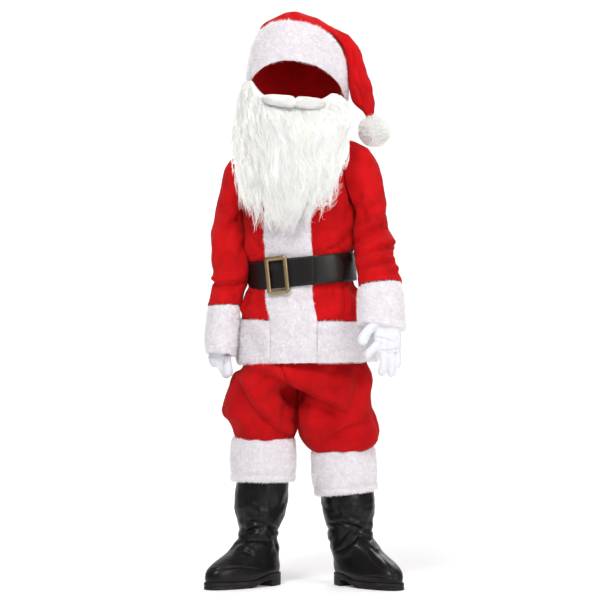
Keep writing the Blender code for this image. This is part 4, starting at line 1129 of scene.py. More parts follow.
def makeHat():
    stations = np.linspace(0.0, 14.0, int(158 * detail))
    grid = tubeRings(hat["rows"], stations, int(84 * detail))
    grid = arched(grid, archWeights(stations))
    around = np.linspace(0.0, math.tau, grid.shape[1], endpoint=False)[None, :]
    level = stations[:, None]
    normals = gridNormals(grid, True)
    # the cloth folds and creases above the band, and is drawn in by the seam that joins them
    above = smoothStep((level - 2.1) / 0.9)
    laid = creased(grid, normals, hat["creases"]) * above
    laid = laid - 1.6 * bell(level, 5.5, 2.0) * np.sin(around * 3.0 + level * 1.3)
    laid = laid + (ripple(grid, 46.0, 41, 1.1) + ripple(grid, 20.0, 42, 0.3)) * above
    laid = laid - 1.4 * bell(level, 2.15, 0.12)
    crown = addShell("hatCrown", grid + normals * laid[..., None], finishes["red"], 0.0, 1.7, True)
    wears(crown, "hat_crown")
    printArea(crown)
    rows = int(34 * detail)
    levels = np.linspace(-0.12, hat["bandTop"], rows)
    band = arched(tubeRings(hat["rows"], levels, int(120 * detail)), archWeights(levels))
    outside = pileDepth(rows, 9.5, 4.0)[:, None] + ripple(band, 40.0, 43, 1.0)
    furPiece("hatBandFur", "hat_fur_band", band, outside, -1.2, True, 38, sunk=2.6, lip=False, Length=0.0046)


def makePompom():
    x, y, z, radius = hat["pompom"]
    ball = bmesh.new()
    bmesh.ops.create_icosphere(ball, subdivisions=5 if detail == 1.0 else 4, radius=1.0)
    directions = np.array([vertex.co[:] for vertex in ball.verts])
    faces = [[vertex.index for vertex in face.verts] for face in ball.faces]
    ball.free()
    lumps = np.array([noise.noise(Vector(way) * 2.3) for way in directions])
    points = np.array([x, y, z]) + directions * (radius - 3.6 + 2.2 * lumps)[:, None]
    core = addMesh("pompomCore", points, faces, finishes["furBase"])
    wears(core, "hat_pompom")
    source = addMesh("pompomSkin", points, faces, None)
    values = pileValues(39, Density=pile["perSquareMetre"] * 1.3, Finish=finishes["hair"],
                        **hat["pompomPile"])
    blades = grown(source, pileTree, values, "pompomPile")
    wears(blades, "hat_pompom")


makeHat()
makePompom()
print("hat ready")


# The trousers: two fronts, two backs and a waistband, puffed over the fur cuffs

trousers = dict(
    right=[
        # outer x, height, inner x, height, wrap, y, front, back
        (-84, 517, -18, 517, 0.0, 0, 67, 67), (-92, 480, -26, 480, 0.0, 0, 74, 76),
        (-98, 440, -32, 440, 0.0, 0, 77, 82), (-102, 392, -32, 394, 0.0, 0, 81, 86),
        (-119, 375, -28, 380, 0.12, 0, 86, 90), (-132, 343, -13, 366, 0.42, 0, 82, 86),
        (-138, 321, -4.2, 356, 0.78, 0, 76, 80), (-136, 307, -4.6, 342, 1.0, 0, 72, 75),
        (-128, 297, -4.8, 318, 1.0, 0, 69, 71), (-122, 283, -5.0, 290, 1.0, 0, 66, 68),
        (-115, 262, -12, 261, 1.0, 0, 54, 56)],
    left=[
        (92, 517, -19, 517, 0.0, 0, 67, 67), (102, 480, -27, 480, 0.0, 0, 74, 76),
        (112, 440, -33.2, 440, 0.0, 0, 80, 84), (119, 402, -33.6, 402, 0.0, 0, 84, 88),
        (128, 374, -29.5, 380, 0.12, 0, 86, 90), (126, 345, -14.5, 366, 0.42, 0, 82, 86),
        (128, 322, -5.0, 356, 0.78, 0, 76, 80), (136, 303, -4.6, 334, 1.0, 0, 72, 75),
        (141, 282, -4.0, 306, 1.0, 0, 70, 72), (139, 262, 0.0, 266, 1.0, 0, 66, 68),
        (127, 246, 24, 240, 1.0, 0, 54, 56)],
    # troughs: station, share across, length, width, depth
    folds=[(4.6, 0.62, 1.1, 0.10, 4.5), (5.6, 0.30, 0.8, 0.12, 3.5), (7.2, 0.52, 0.9, 0.14, 4.0),
           (8.6, 0.22, 0.7, 0.16, 3.5), (8.9, 0.78, 0.8, 0.12, 3.0)],
    rowSteps=int(104 * detail), columnSteps=int(60 * detail), wall=1.8, panel=(0.20, 0.29), clearHeight=402.0,
    waist=[(92, 518, -84, 518, 0, 67, 0), (89, 548, -81, 548, 0, 64, 0)], waistWall=2.6,
    creases=dict(
        front=[
            ((-88, 388), (-10, 356), 3, 5.0, 5.5), ((-10, 356), (76, 314), 3, 5.0, 6.0),
            ((-84, 376), (-8, 346), 3, 13.0, 9.0), ((-8, 346), (72, 300), 3, 14.0, 9.0),
            ((-8, 352), (-18, 286), -2, 14.0, 12.0), ((-4, 300), (-2, 268), 0, 9.0, 7.0),
            ((-70, 332), (-4, 342), 5, 11.0, 6.5), ((-110, 366), (-60, 300), -6, 6.0, 6.0),
            ((-112, 356), (-70, 296), -6, 13.0, 9.0), ((-70, 298), (-20, 262), -4, 10.0, 5.5),
            ((-64, 302), (-14, 268), -4, 5.0, 5.0), ((-112, 316), (-84, 288), 2, 8.0, 4.5),
            ((128, 296), (46, 256), -7, 5.5, 6.0), ((128, 286), (62, 250), -7, 11.0, 8.0),
            ((126, 276), (96, 262), 2, 5.0, 3.6),
            ((104, 390), (88, 316), 6, 10.0, 6.5), ((56, 392), (64, 344), -4, 10.0, 5.0),
            ((-62, 396), (-76, 366), 4, 7.0, 3.0), ((10, 326), (62, 296), 4, 8.0, 4.0),
            ((-26, 326), (-34, 284), 3, 8.0, 4.5), ((14, 330), (14, 280), -3, 7.0, 4.0),
            ((-100, 288), (-98, 268), 1, 3.4, 2.0), ((-72, 286), (-70, 268), 1, 3.4, 1.8),
            ((-40, 284), (-38, 268), -1, 3.4, 1.8), ((62, 268), (60, 250), 1, 3.4, 2.0),
            ((100, 270), (104, 252), -1, 3.4, 2.0)],
        back=[
            ((-10, 356), (-78, 326), 5, 5.4, 4.6), ((4, 354), (74, 320), -5, 5.4, 4.6),
            ((-104, 372), (-84, 306), -4, 5.6, 3.6), ((112, 372), (94, 300), 5, 5.6, 3.6),
            ((-80, 312), (-40, 276), -4, 4.8, 3.6), ((84, 300), (38, 262), 4, 4.8, 3.8),
            ((-56, 400), (-40, 366), 3, 5.4, 2.6), ((52, 400), (36, 366), -3, 5.4, 2.6),
            ((-98, 286), (-96, 268), 1, 3.4, 2.0), ((-62, 286), (-60, 268), -1, 3.4, 2.0),
            ((70, 270), (72, 252), 1, 3.4, 2.0), ((112, 272), (114, 254), -1, 3.4, 2.0)],
        right=[((-20, 392), (6, 340), 6, 6.4, 3.6), ((26, 370), (10, 316), -5, 6.4, 3.4),
               ((-26, 316), (-12, 284), 2, 4.6, 3.0), ((20, 312), (26, 284), -2, 4.6, 3.0)],
        left=[((-16, 396), (10, 344), 6, 6.4, 3.6), ((28, 372), (14, 316), -5, 6.4, 3.4),
              ((-24, 308), (-14, 268), 2, 4.6, 3.0), ((22, 306), (28, 268), -2, 4.6, 3.0)]))


def legSurface(rows, stations, shares, face):
    stations, shares = np.broadcast_arrays(stations, shares)
    outerX, outerHeight, innerX, innerHeight, wrap, y, front, back = alongTable(rows, stations)
    reach = math.pi / 2.0 * (1.0 + np.clip(wrap, 0.0, 1.0))
    angle = reach * shares
    progress = (1.0 - np.cos(angle)) / (1.0 - np.cos(reach))
    depth = front if face < 0 else back
    return np.stack([outerX + (innerX - outerX) * progress,
                     y + face * depth * np.maximum(np.sin(angle), 0.0) ** 0.92,
                     outerHeight + (innerHeight - outerHeight) * progress ** 1.5], axis=-1)


def trouserPanel(name, rows, side, face):
    # columns run anticlockwise seen from above, so the outside faces out
    stations = np.linspace(10.0, 0.0, trousers["rowSteps"])[:, None]
    shares = np.linspace(0.0, 1.0, trousers["columnSteps"])[None, :]
    grid = legSurface(rows, stations, shares, face)
    troughs = np.zeros(grid.shape[:2])
    for at, across, length, width, depth in trousers["folds"]:
        slant = across + 0.16 * (stations - at)
        troughs = troughs + depth * bell(stations, at, length) * bell(shares, slant, width)
    # the cloth is gathered into the leg's cuff
    gathered = np.clip((stations - 8.5) / 1.5, 0.0, 1.0) * np.sin(shares * 26.0) * 1.6
    calm = 1.0 - np.abs(2.0 * shares - 1.0) ** 2.0
    if side * face < 0:
        grid, troughs, gathered = grid[:, ::-1], troughs[:, ::-1], gathered[:, ::-1]
    normals = gridNormals(grid)
    laid = creased(grid, normals, trousers["creases"])
    # nothing swells where the jacket's hem lies close
    laid = laid * smoothStep((trousers["clearHeight"] - grid[..., 2]) / 18.0)
    seamEase = np.minimum(1.0, 1.0 - np.abs(2.0 * shares - 1.0) ** 10.0 + 0.25)
    push = (gathered - troughs * 0.6) * calm
    push = push + (laid + ripple(grid, 58.0, 51, 1.4) + ripple(grid, 22.0, 52, 0.4)) * seamEase
    push = push + rimIn(grid.shape[1], 2.6 / detail, 2.4, 0.8)
    grid = grid + normals * push[..., None]
    return addShell(name, grid, finishes["red"], 0.9, trousers["wall"] - 0.9, False)


def makeTrousers():
    for side, sign in (("right", -1), ("left", 1)):
        for part, face in (("front", -1), ("back", 1)):
            piece = trouserPanel("trousers" + part.title() + side.title(), trousers[side], sign, face)
            wears(piece, f"trousers_{part}_{side}")
            printArea(piece)
    band = tubeRings(trousers["waist"], np.linspace(0.0, 1.0, int(14 * detail)), int(150 * detail))
    around = np.linspace(0.0, math.tau, band.shape[1], endpoint=False)[None, :]
    band = pushed(band, 0.9 * np.sin(around * 44.0), True)       # drawn in by elastic
    waist = addShell("trousersWaistband", band, finishes["red"], 0.0, trousers["waistWall"], True)
    wears(waist, "trousers_waistband")


makeTrousers()
print("trousers ready")


# The belt, its stitching and its buckle

belt = dict(
    width=51.0, thickness=2.4, lift=7.9, overlap=3.4, station=6.0, degrees=258.0, tip=68.0,
    # creases across the strap: degrees past the buckle, and depth
    creases=[(376.0, 1.6), (380.0, 1.1), (391.5, 2.2), (34.0, 0.8)], creaseWidth=1.1, tailFrom=391.5,
    stitchGap=3.0, stitchStep=3.4, stitchLength=2.6, stitchRadius=0.34,
    buckle=(43.0, 67.0, 8.0, 5.0), cornerOut=6.0, cornerIn=1.6, cornerSteps=9,
    # the frame's section, from its outer back edge round its raised face to its inner back edge
    section=[(0.0, 0.0), (0.0, 0.35), (0.02, 0.55), (0.10, 0.74), (0.22, 0.9), (0.38, 0.98), (0.5, 1.0),
             (0.62, 0.98), (0.78, 0.9), (0.90, 0.74), (0.98, 0.55), (1.0, 0.35), (1.0, 0.0)])


def strapPoint(degrees, across, out):
    degrees, across, out = np.broadcast_arrays(degrees, across, out)
    stations = np.full(degrees.shape, belt["station"])
    height, x, halfWidth, halfDepth, roll = alongTable(jacket["rows"], stations)
    wide, deep = roundedBox(np.radians(degrees), halfWidth + out, halfDepth + out)
    turn, roll = math.radians(jacket["turn"]), np.radians(roll)
    along = wide * math.cos(turn) - deep * math.sin(turn)
    return np.stack([x + along * np.cos(roll) - across * np.sin(roll),
                     wide * math.sin(turn) + deep * math.cos(turn),
                     height + along * np.sin(roll) + across * np.cos(roll)], axis=-1)


def strapLayout(columns):
    start = belt["degrees"] - 6.0
    tip = belt["degrees"] + 360.0 + belt["tip"]
    angles = np.linspace(start, tip, columns)
    lift = belt["lift"] + belt["overlap"] * smoothStep((angles - start - 325.0) / 30.0)
    lift = lift + 1.3 * smoothStep((angles - tip + 36.0) / 2.0)
    nearTip = np.maximum((angles - tip + 12.0) / 12.0, 0.0)
    half = belt["width"] / 2.0 * np.sqrt(np.maximum(1.0 - nearTip ** 2.2, 0.02))
    return angles, lift, half


def makeStrap():
    angles, lift, half = strapLayout(int(420 * detail))
    shares = np.linspace(-1.0, 1.0, int(22 * detail))[:, None]
    # the strap is a little dished, soft at its edges, and wavers where it is creased
    dish = -0.5 * shares ** 2 - 0.8 * np.abs(shares) ** 14.0
    wave = (0.6 * np.sin(np.radians(angles * 4.7)) + 0.5 * np.sin(np.radians(angles * 11.3 + 40.0)))[None, :]
    start = belt["degrees"]
    for at, depth in belt["creases"]:
        wave = wave - depth * bell(angles - (start + at) - 1.5 * shares, 0.0, belt["creaseWidth"])
    grid = strapPoint(angles[None, :], shares * half[None, :], lift[None, :] + dish + wave * 0.5)
    strap = addShell("beltStrap", grid, finishes["leather"], 0.0, belt["thickness"] - 0.5, False)
    # the tail past its last crease is smoother, and its colour is lightened there too, a painted highlight
    tail = np.broadcast_to(smoothStep(angles - start - belt["tailFrom"]), grid.shape[:2]).ravel()
    shine = strap.data.attributes.new("tail", "FLOAT", "POINT")
    shine.data.foreach_set("value", np.resize(tail, len(strap.data.vertices)).astype(np.float32))
    bevel = strap.modifiers.new("edge", "BEVEL")
    bevel.width = 0.0005
    bevel.segments = 2
    bevel.limit_method = "ANGLE"
    bevel.angle_limit = math.radians(60.0)
    flatten(strap)
    wears(strap, "belt_strap")


def flatten(made):
    # keeps what the modifiers make as a plain mesh
    bpy.context.view_layer.update()
    evaluated = made.evaluated_get(bpy.context.evaluated_depsgraph_get())
    mesh = bpy.data.meshes.new_from_object(evaluated)
    made.modifiers.clear()
    old = made.data
    made.data = mesh
    bpy.data.meshes.remove(old)


def makeStitchTree():
    tree, given = newTree("stitchTree", {"Step": 0.003, "Length": 0.002, "Radius": 0.0003, "Finish": None})
    curve = tree.node("GeometryNodeMeshToCurve", None, {"Mesh": given["Geometry"]})
    points = tree.node("GeometryNodeCurveToPoints", {"mode": "LENGTH"},
                       {"Curve": curve, "Length": given["Step"]})
    tangent = Wire(tree, points.socket.node.outputs["Tangent"])
    turned = tree.alignedTo(tangent)
    bead = tree.node("GeometryNodeMeshCone", {"fill_type": "NGON"},
                     {"Vertices": 6, "Side Segments": 1, "Radius Top": 0.75, "Radius Bottom": 0.75,
                      "Depth": 1.0})
    middle = tree.node("GeometryNodeTransform", None, {"Geometry": bead, "Translation": (0.0, 0.0, -0.5)})
    size = tree.combined(X=given["Radius"], Y=given["Radius"], Z=given["Length"])
    beads = tree.node("GeometryNodeInstanceOnPoints", None,
                      {"Points": points, "Instance": middle, "Rotation": turned, "Scale": size})
    endTree(tree, beads, given["Finish"])
    return tree.tree


stitchTree = makeStitchTree()


def stitchPiece(name, paths, finish, step, length, radius):
    points, edges = [], []
    for path in paths:
        edges += [(len(points) + step, len(points) + step + 1) for step in range(len(path) - 1)]
        points += [tuple(point) for point in path]
    placed = [(x * mm, y * mm, (z - hangHeight) * mm) for x, y, z in points]
    mesh = bpy.data.meshes.new(name + "Line")
    mesh.from_pydata(placed, edges, [])
    values = {"Step": step * mm, "Length": length * mm, "Radius": radius * mm, "Finish": finish}
    made = grown(linked(name + "Line", mesh), stitchTree, values, name)
    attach(made, "root")


def makeBelt():
    makeStrap()
    angles, lift, half = strapLayout(260)
    angles, lift, half = angles[6:-10], lift[6:-10] + 0.05, half[6:-10] - belt["stitchGap"]
    edges = [strapPoint(angles, side * half, lift) for side in (-1.0, 1.0)]
    stitchPiece("beltStitches", edges, finishes["blackThread"],
                belt["stitchStep"], belt["stitchLength"], belt["stitchRadius"])


def buckleRing(width, height, corner):
    # a rounded rectangle
    ring = []
    steps = belt["cornerSteps"]
    for quarter, (signX, signY) in enumerate([(1, 1), (-1, 1), (-1, -1), (1, -1)]):
        for step in range(steps):
            angle = math.radians(90.0 * (quarter + step / (steps - 1)))
            ring.append((signX * (width / 2.0 - corner) + math.cos(angle) * corner,
                         signY * (height / 2.0 - corner) + math.sin(angle) * corner))
    return ring


def makeBuckle():
    width, height, bar, depth = belt["buckle"]
    centre = strapPoint(np.array(belt["degrees"]), -2.5, 14.0)
    up = unit(strapPoint(np.array(belt["degrees"]), 10.0, 9.0)
              - strapPoint(np.array(belt["degrees"]), 0.0, 9.0))
    along = unit(strapPoint(np.array(belt["degrees"] + 5.0), 0.0, 9.0)
                 - strapPoint(np.array(belt["degrees"] - 5.0), 0.0, 9.0))
    out = unit(np.cross(along, up))
    points = []
    for inward, raised in belt["section"]:
        corner = belt["cornerOut"] + (belt["cornerIn"] - belt["cornerOut"]) * inward
        for x, y in buckleRing(width - 2.0 * bar * inward, height - 2.0 * bar * inward, corner):
            points.append(centre + along * x + up * y + out * raised * depth)
    count = 4 * belt["cornerSteps"]
    faces = []
    for ring in range(len(belt["section"])):
        low, high = ring * count, (ring + 1) % len(belt["section"]) * count
        for step in range(count):
            beside = (step + 1) % count
            faces.append((low + step, low + beside, high + beside, high + step))
    made = addMesh("beltBuckle", points, faces, finishes["brass"], tidy=True)
    wears(made, "belt_buckle")


makeBelt()
makeBuckle()
print("belt ready")


# The boots: a vinyl upper over a welted rubber sole and a stacked heel

boots = dict(
    rows=[
        # height, heel, toe, half width, lean
        (13, 44, 122, 35, 0), (22, 45, 123, 37, 0), (33, 45, 119, 36.5, 0), (43, 44, 105, 35, 0),
        (53, 43, 86, 34, 0.1), (66, 41, 63, 33, 0.25), (82, 38, 45, 33, 0.4),
        (100, 38, 39, 34, 0.55), (118, 43, 42, 38.5, 0.7),
        (135, 46, 46, 43.5, 0.85), (152, 48, 48, 45.5, 1.0), (188, 47, 46, 45.5, 1.25),
        (212, 47, 46, 45.5, 1.4)],
    right=dict(
        foot=(-78.0, -8.0), shaft=(-69.0, 2.0), turn=-43.0, full=0.0,
        creases=dict(
            front=[
                ((-90, 116), (-44, 103), 3, 3.6, 3.4), ((-100, 92), (-62, 106), 3, 3.6, 3.2),
                ((-96, 84), (-50, 76), 5, 4.0, 3.0), ((-88, 134), (-58, 124), -6, 5.0, 2.4),
                ((-84, 152), (-80, 128), 2, 3.4, 1.8), ((-58, 92), (-40, 60), 5, 3.4, 2.6),
                ((-150, 36), (-78, 33), 5, 1.5, 1.2), ((-128, 62), (-104, 80), 3, 3.4, 1.8),
                ((-112, 68), (-84, 58), 3, 3.0, 1.8), ((-50, 160), (-40, 128), -4, 7.0, 2.0)],
            left=[((-20, 104), (24, 98), -3, 4.0, 1.6), ((-16, 86), (26, 80), 2, 4.0, 1.6)],
            back=[((-90, 102), (-56, 96), -3, 4.0, 2.0), ((-84, 86), (-58, 80), 3, 4.0, 1.8)],
            right=[((-34, 104), (10, 96), 3, 4.0, 1.5), ((-38, 86), (8, 78), 3, 4.0, 1.5)])),
    left=dict(
        foot=(103.0, -8.0), shaft=(86.0, 2.0), turn=35.0, full=11.0,
        creases=dict(
            front=[
                ((56, 112), (108, 102), 5, 3.6, 3.6), ((60, 130), (104, 116), 5, 4.6, 2.0),
                ((106, 98), (66, 60), 3, 4.0, 3.6), ((92, 103), (72, 80), -2, 2.8, 2.0),
                ((122, 74), (166, 30), 2, 1.8, 1.3), ((118, 70), (148, 40), -4, 3.4, 2.0),
                ((106, 90), (126, 84), 3, 3.4, 2.0), ((128, 24), (170, 23), 1, 1.5, 1.1),
                ((56, 72), (60, 40), -2, 3.0, 1.6), ((64, 150), (68, 124), 2, 4.0, 1.6)],
            right=[((-26, 102), (18, 96), 3, 4.0, 1.5), ((-20, 84), (20, 76), -3, 4.0, 1.4)],
            back=[((66, 104), (104, 98), 3, 4.0, 2.0), ((64, 86), (104, 82), -3, 4.0, 1.8)],
            left=[((-30, 104), (14, 98), -3, 4.0, 1.5), ((-34, 84), (10, 78), 3, 4.0, 1.5)])),
    wall=2.0, columns=int(112 * detail), rowSteps=int(128 * detail), fullHeight=88.0,
    sole=dict(
        height=8.0, heelRise=10.0, welt=3.0, columns=96,
        # levels of the sole, as shares of its height, and how far each stands out
        levels=[(0.0, -1.0), (0.06, 0.0), (0.36, 0.35), (0.44, -0.5), (0.50, -0.5), (0.56, 0.3), (0.9, 0.3),
                (1.0, -0.5)]),
    heel=dict(
        # levels of the heel's layers, in millimetres, and how far each stands out
        levels=[(0.0, -0.8), (0.5, -0.1), (2.6, 0.0), (2.9, -0.45), (3.2, 0.0), (6.0, 0.1), (6.3, -0.35),
                (6.6, 0.1), (10.2, 0.2), (10.7, -0.3)],
        columns=48))


def bootOutline(heel, toe, halfWidth, columns, grow=0.0):
    angles = math.tau * np.arange(columns) / columns
    across, deep = roundedBox(angles, halfWidth + grow, 1.0, 2.4)
    reach = np.where(deep < 0.0, toe, heel) + grow
    narrow = 1.0 - 0.10 * np.maximum(deep, 0.0) - 0.05 * np.maximum(-deep, 0.0) ** 3
    return across * narrow, deep * reach


def soleRise(y):
    return boots["sole"]["heelRise"] * smoothStep((y + 45.0) / 55.0)


def bootPlace(boot, x, y, height, lean):
    turn = math.radians(boot["turn"])
    x, y, height, lean = np.broadcast_arrays(x, y, height, lean)
    atX = boot["foot"][0] + (boot["shaft"][0] - boot["foot"][0]) * lean
    atY = boot["foot"][1] + (boot["shaft"][1] - boot["foot"][1]) * lean
    return np.stack([atX + x * math.cos(turn) - y * math.sin(turn),
                     atY + x * math.sin(turn) + y * math.cos(turn), height], axis=-1)


def makeUpper(side, boot, seed):
    stations = np.linspace(0.0, 12.0, boots["rowSteps"])
    height, heel, toe, halfWidth, lean = (value[:, None] for value in alongTable(boots["rows"], stations))
    x, y = bootOutline(heel, toe, halfWidth, boots["columns"])
    angles = math.tau * np.arange(boots["columns"])[None, :] / boots["columns"]
    settle = np.exp(-((height - 13.0) / 30.0))
    swell = 1.0 + 0.02 * bell(height, 92.0, 34.0) * np.sin(height * 0.21 + 1.7 * np.sin(angles))
    swell = swell - 0.05 * bell(height, 93.0, 20.0)
    grid = bootPlace(boot, x * swell, y * swell, height + soleRise(y) * settle, lean)
    # the shaft stands fuller on the side toward the other boot
    inner = np.clip((grid[..., 0].mean(axis=1, keepdims=True) - grid[..., 0]) / 34.0, 0.0, 1.0)
    grid[..., 0] -= boot["full"] * inner * bell(height, boots["fullHeight"], 45.0)
    normals = gridNormals(grid, True)
    laid = creased(grid, normals, boot["creases"])
    # the vamp is stretched over a firm toe, so only the shaft is wavy
    slack = smoothStep((height - 34.0) / 40.0)
    laid = laid + (ripple(grid, 34.0, seed, 0.9) + ripple(grid, 15.0, seed + 1, 0.22)) * slack
    firm = smoothStep((height - 15.0) / 8.0)
    upper = addShell("bootUpper" + side.title(), grid + normals * (laid * firm)[..., None],
                     finishes["vinyl"], 0.0, boots["wall"], True)
    wears(upper, "boot_upper_" + side)


def capQuads(columns, half):
    # quads across a flat end, each from one side of the outline to the other
    if half:
        return [(step, step + 1, columns - 2 - step, columns - 1 - step) for step in range(columns // 2)]
    first = -(columns // 4)
    return [[corner % columns for corner in (step, step + 1, columns // 2 - step - 1, columns // 2 - step)]
            for step in range(first, first + columns // 2)]


def stackRings(name, boot, rings, half, finish):
    # rings are outlines at rising levels; half is for the back of an outline alone, as of a heel
    columns = len(rings[0][0])
    points = np.concatenate([bootPlace(boot, x, y, z, 0.0) for x, y, z in rings])
    faces = gridFaces(len(rings), columns, True).tolist()
    for level, turned in ((0, True), (len(rings) - 1, False)):
        for quad in capQuads(columns, half):
            corners = [level * columns + corner for corner in dict.fromkeys(quad)]
            if len(corners) > 2:
                faces.append(corners[::-1] if turned else corners)
    made = addMesh(name, points, faces, finish, tidy=True)
    made.data.set_sharp_from_angle(angle=math.radians(52.0))
    return made


def makeSole(side, boot):
    sole = boots["sole"]
    _, heel, toe, halfWidth, _ = boots["rows"][0]
    rings = []
    for share, grow in sole["levels"]:
        x, y = bootOutline(heel, toe, halfWidth, sole["columns"], sole["welt"] + grow)
        low = 11.0 * smoothStep((y + 48.0) / 36.0)
        high = sole["height"] + 4.4 + soleRise(y)
        rings.append((x, y, low + (high - low) * share))
    made = stackRings("bootSole" + side.title(), boot, rings, False, finishes["rubber"])
    wears(made, "boot_sole_" + side)
    # the welt is stitched close to the upper
    x, y = bootOutline(heel, toe, halfWidth, 120, 1.5)
    path = bootPlace(boot, x, y, sole["height"] + 4.45 + soleRise(y), 0.0)
    stitchPiece("weltStitches" + side.title(), [np.concatenate([path, path[:1]])], finishes["blackThread"],
                3.0, 2.1, 0.36)


def makeHeel(side, boot):
    _, heel, _, halfWidth, _ = boots["rows"][0]
    columns = boots["heel"]["columns"]
    angles = np.linspace(0.0, math.pi, columns)
    rings = []
    for level, grow in boots["heel"]["levels"]:
        out = boots["sole"]["welt"] + grow
        across, deep = roundedBox(angles, halfWidth + out, 1.0, 2.4)
        narrow = 1.0 - 0.10 * np.maximum(deep, 0.0)
        rings.append((across * narrow, deep * (heel + out), np.full(columns, level)))
    made = stackRings("bootHeel" + side.title(), boot, rings, True, finishes["rubber"])
    wears(made, "boot_heel_" + side)


for side, seed in (("right", 61), ("left", 63)):
    makeUpper(side, boots[side], seed)
    makeSole(side, boots[side])
    makeHeel(side, boots[side])
print("boots ready")


# The gloves: thin knit over empty fingers, grown together from a palm and five tubes each

gloves = dict(
    voxel=0.0013 / detail, wall=0.0011,
    right=dict(
        palm=[(-144, -16, 452, 15, 26), (-145, -17, 424, 16, 27), (-146, -14, 404, 18, 28),
              (-143, -12, 392, 14, 27)],
        fingers=[
            ([(-133, -33, 410), (-128, -39, 398), (-128, -42, 382)], 8.0),
            ([(-142, -32, 398), (-136, -33, 386), (-133, -26, 379)], 7.5),
            ([(-143, -17, 398), (-137, -15, 385), (-133, -8, 378)], 7.5),
            ([(-144, -2, 399), (-138, 0, 387), (-134, 6, 381)], 7.2),
            ([(-145, 10, 402), (-140, 13, 391), (-137, 17, 385)], 6.6)],
        creases=dict(front=[((-156, 404), (-134, 400), 2, 1.8, 1.2), ((-154, 396), (-138, 394), 1, 1.4, 0.9)],
                     right=[((-34, 404), (14, 402), 2, 1.8, 1.2), ((-26, 394), (-14, 414), 1, 1.5, 0.8),
                            ((-8, 392), (-4, 414), 1, 1.5, 0.8)])),
    left=dict(
        palm=[(148, -132, 492, 26, 18), (151, -140, 462, 26, 15), (153, -143, 436, 24, 13),
              (153, -141, 420, 22, 11)],
        fingers=[
            ([(136, -146, 470), (116, -156, 462), (109, -160, 441)], 9.0),
            ([(137, -143, 434), (126, -156, 428), (118, -152, 417)], 8.0),
            ([(147, -143, 424), (147, -150, 403), (143, -146, 386)], 7.2),
            ([(158, -142, 424), (162, -147, 403), (160, -144, 384)], 7.2),
            ([(168, -140, 427), (173, -143, 412), (170, -139, 398)], 6.4)],
        creases=dict(front=[((134, 446), (162, 438), 2, 1.8, 1.8), ((140, 424), (172, 428), -2, 1.6, 1.4),
                            ((152, 446), (151, 416), 0, 1.1, 1.3), ((163, 448), (165, 418), 0, 1.1, 1.3),
                            ((142, 446), (139, 428), 0, 1.1, 1.2), ((126, 452), (136, 466), 2, 1.8, 1.8),
                            ((136, 480), (172, 474), 3, 2.2, 1.4)],
                     back=[((132, 440), (172, 436), 2, 1.8, 1.2)])))


def ringMesh(rings):
    # a closed loft through equal rings with flat ends, as points and faces
    sides = len(rings[0])
    faces = gridFaces(len(rings), sides, True).tolist()
    faces.append(list(range(sides))[::-1])
    faces.append([len(rings) * sides - sides + side for side in range(sides)])
    return np.concatenate(rings), faces


def palmRings(palm):
    rings = []
    angles = math.tau * np.arange(28) / 28
    for x, y, z, halfWidth, halfDepth in np.stack(alongTable(palm, np.linspace(0.0, 3.0, 14)), axis=-1):
        across, deep = roundedBox(angles, halfWidth, halfDepth, 2.4)
        rings.append(np.stack([x + across, y + deep, np.full(28, z)], axis=-1))
    return rings


def fingerRings(spine, radius):
    points = [Vector(point) for point in spine]
    rings = []
    steps = 9
    for step in range(steps + 5):
        part = min(step / steps, 1.0)
        at = points[0].lerp(points[1], part).lerp(points[1].lerp(points[2], part), part)
        heading = (points[1] - points[0]).lerp(points[2] - points[1], part).normalized()
        over = max(step - steps, 0)
        size = radius * (1.0, 0.93, 0.78, 0.52, 0.2)[over] * (1.0 + 0.05 * math.sin(part * 9.0))
        at = at + heading * radius * (0.0, 0.36, 0.62, 0.84, 0.95)[over]
        side = heading.cross(Vector((0.0, 1.0, 0.15))).normalized()
        up = heading.cross(side)
        rings.append(np.array([at + side * math.cos(turn) * size + up * math.sin(turn) * size
                               for turn in np.linspace(0.0, math.tau, 16, endpoint=False)]))
    return rings


def makeGlove(side, shape):
    allPoints, allFaces, start = [], [], 0
    lofts = [palmRings(shape["palm"])] + [fingerRings(spine, radius) for spine, radius in shape["fingers"]]
    for rings in lofts:
        points, faces = ringMesh(rings)
        allPoints.append(points)
        allFaces += [[corner + start for corner in face] for face in faces]
        start += len(points)
    made = addMesh("glove" + side.title(), np.concatenate(allPoints), allFaces, finishes["knit"], tidy=True)
    grow = made.modifiers.new("grow", "REMESH")
    grow.mode = "VOXEL"
    grow.voxel_size = gloves["voxel"]
    soften = made.modifiers.new("soften", "SMOOTH")
    soften.factor = 0.5
    soften.iterations = 5
    flatten(made)
    mesh = made.data
    count = len(mesh.vertices)
    points, normals = np.zeros(count * 3), np.zeros(count * 3)
    mesh.vertices.foreach_get("co", points)
    mesh.vertices.foreach_get("normal", normals)
    points, normals = points.reshape(-1, 3) / mm, normals.reshape(-1, 3)
    points[:, 2] += hangHeight
    laid = creased(points, normals, shape["creases"])
    points = points + normals * (laid + ripple(points, 17.0, 71, 0.4))[:, None]
    points[:, 2] -= hangHeight
    mesh.vertices.foreach_set("co", (points * mm).ravel())
    # the wrist is open
    edit = bmesh.new()
    edit.from_mesh(mesh)
    top = (shape["palm"][0][2] - hangHeight - 2.5) * mm
    bmesh.ops.delete(edit, geom=[vertex for vertex in edit.verts if vertex.co.z > top], context="VERTS")
    edit.to_mesh(mesh)
    edit.free()
    wall = made.modifiers.new("wall", "SOLIDIFY")
    wall.thickness = gloves["wall"]
    wall.offset = -1.0
    flatten(made)
    made.data.shade_smooth()
    if not made.data.materials:
        made.data.materials.append(finishes["knit"])
    wears(made, "glove_" + side)
    printFaces(made)


makeGlove("right", gloves["right"])
makeGlove("left", gloves["left"])
print("gloves ready")


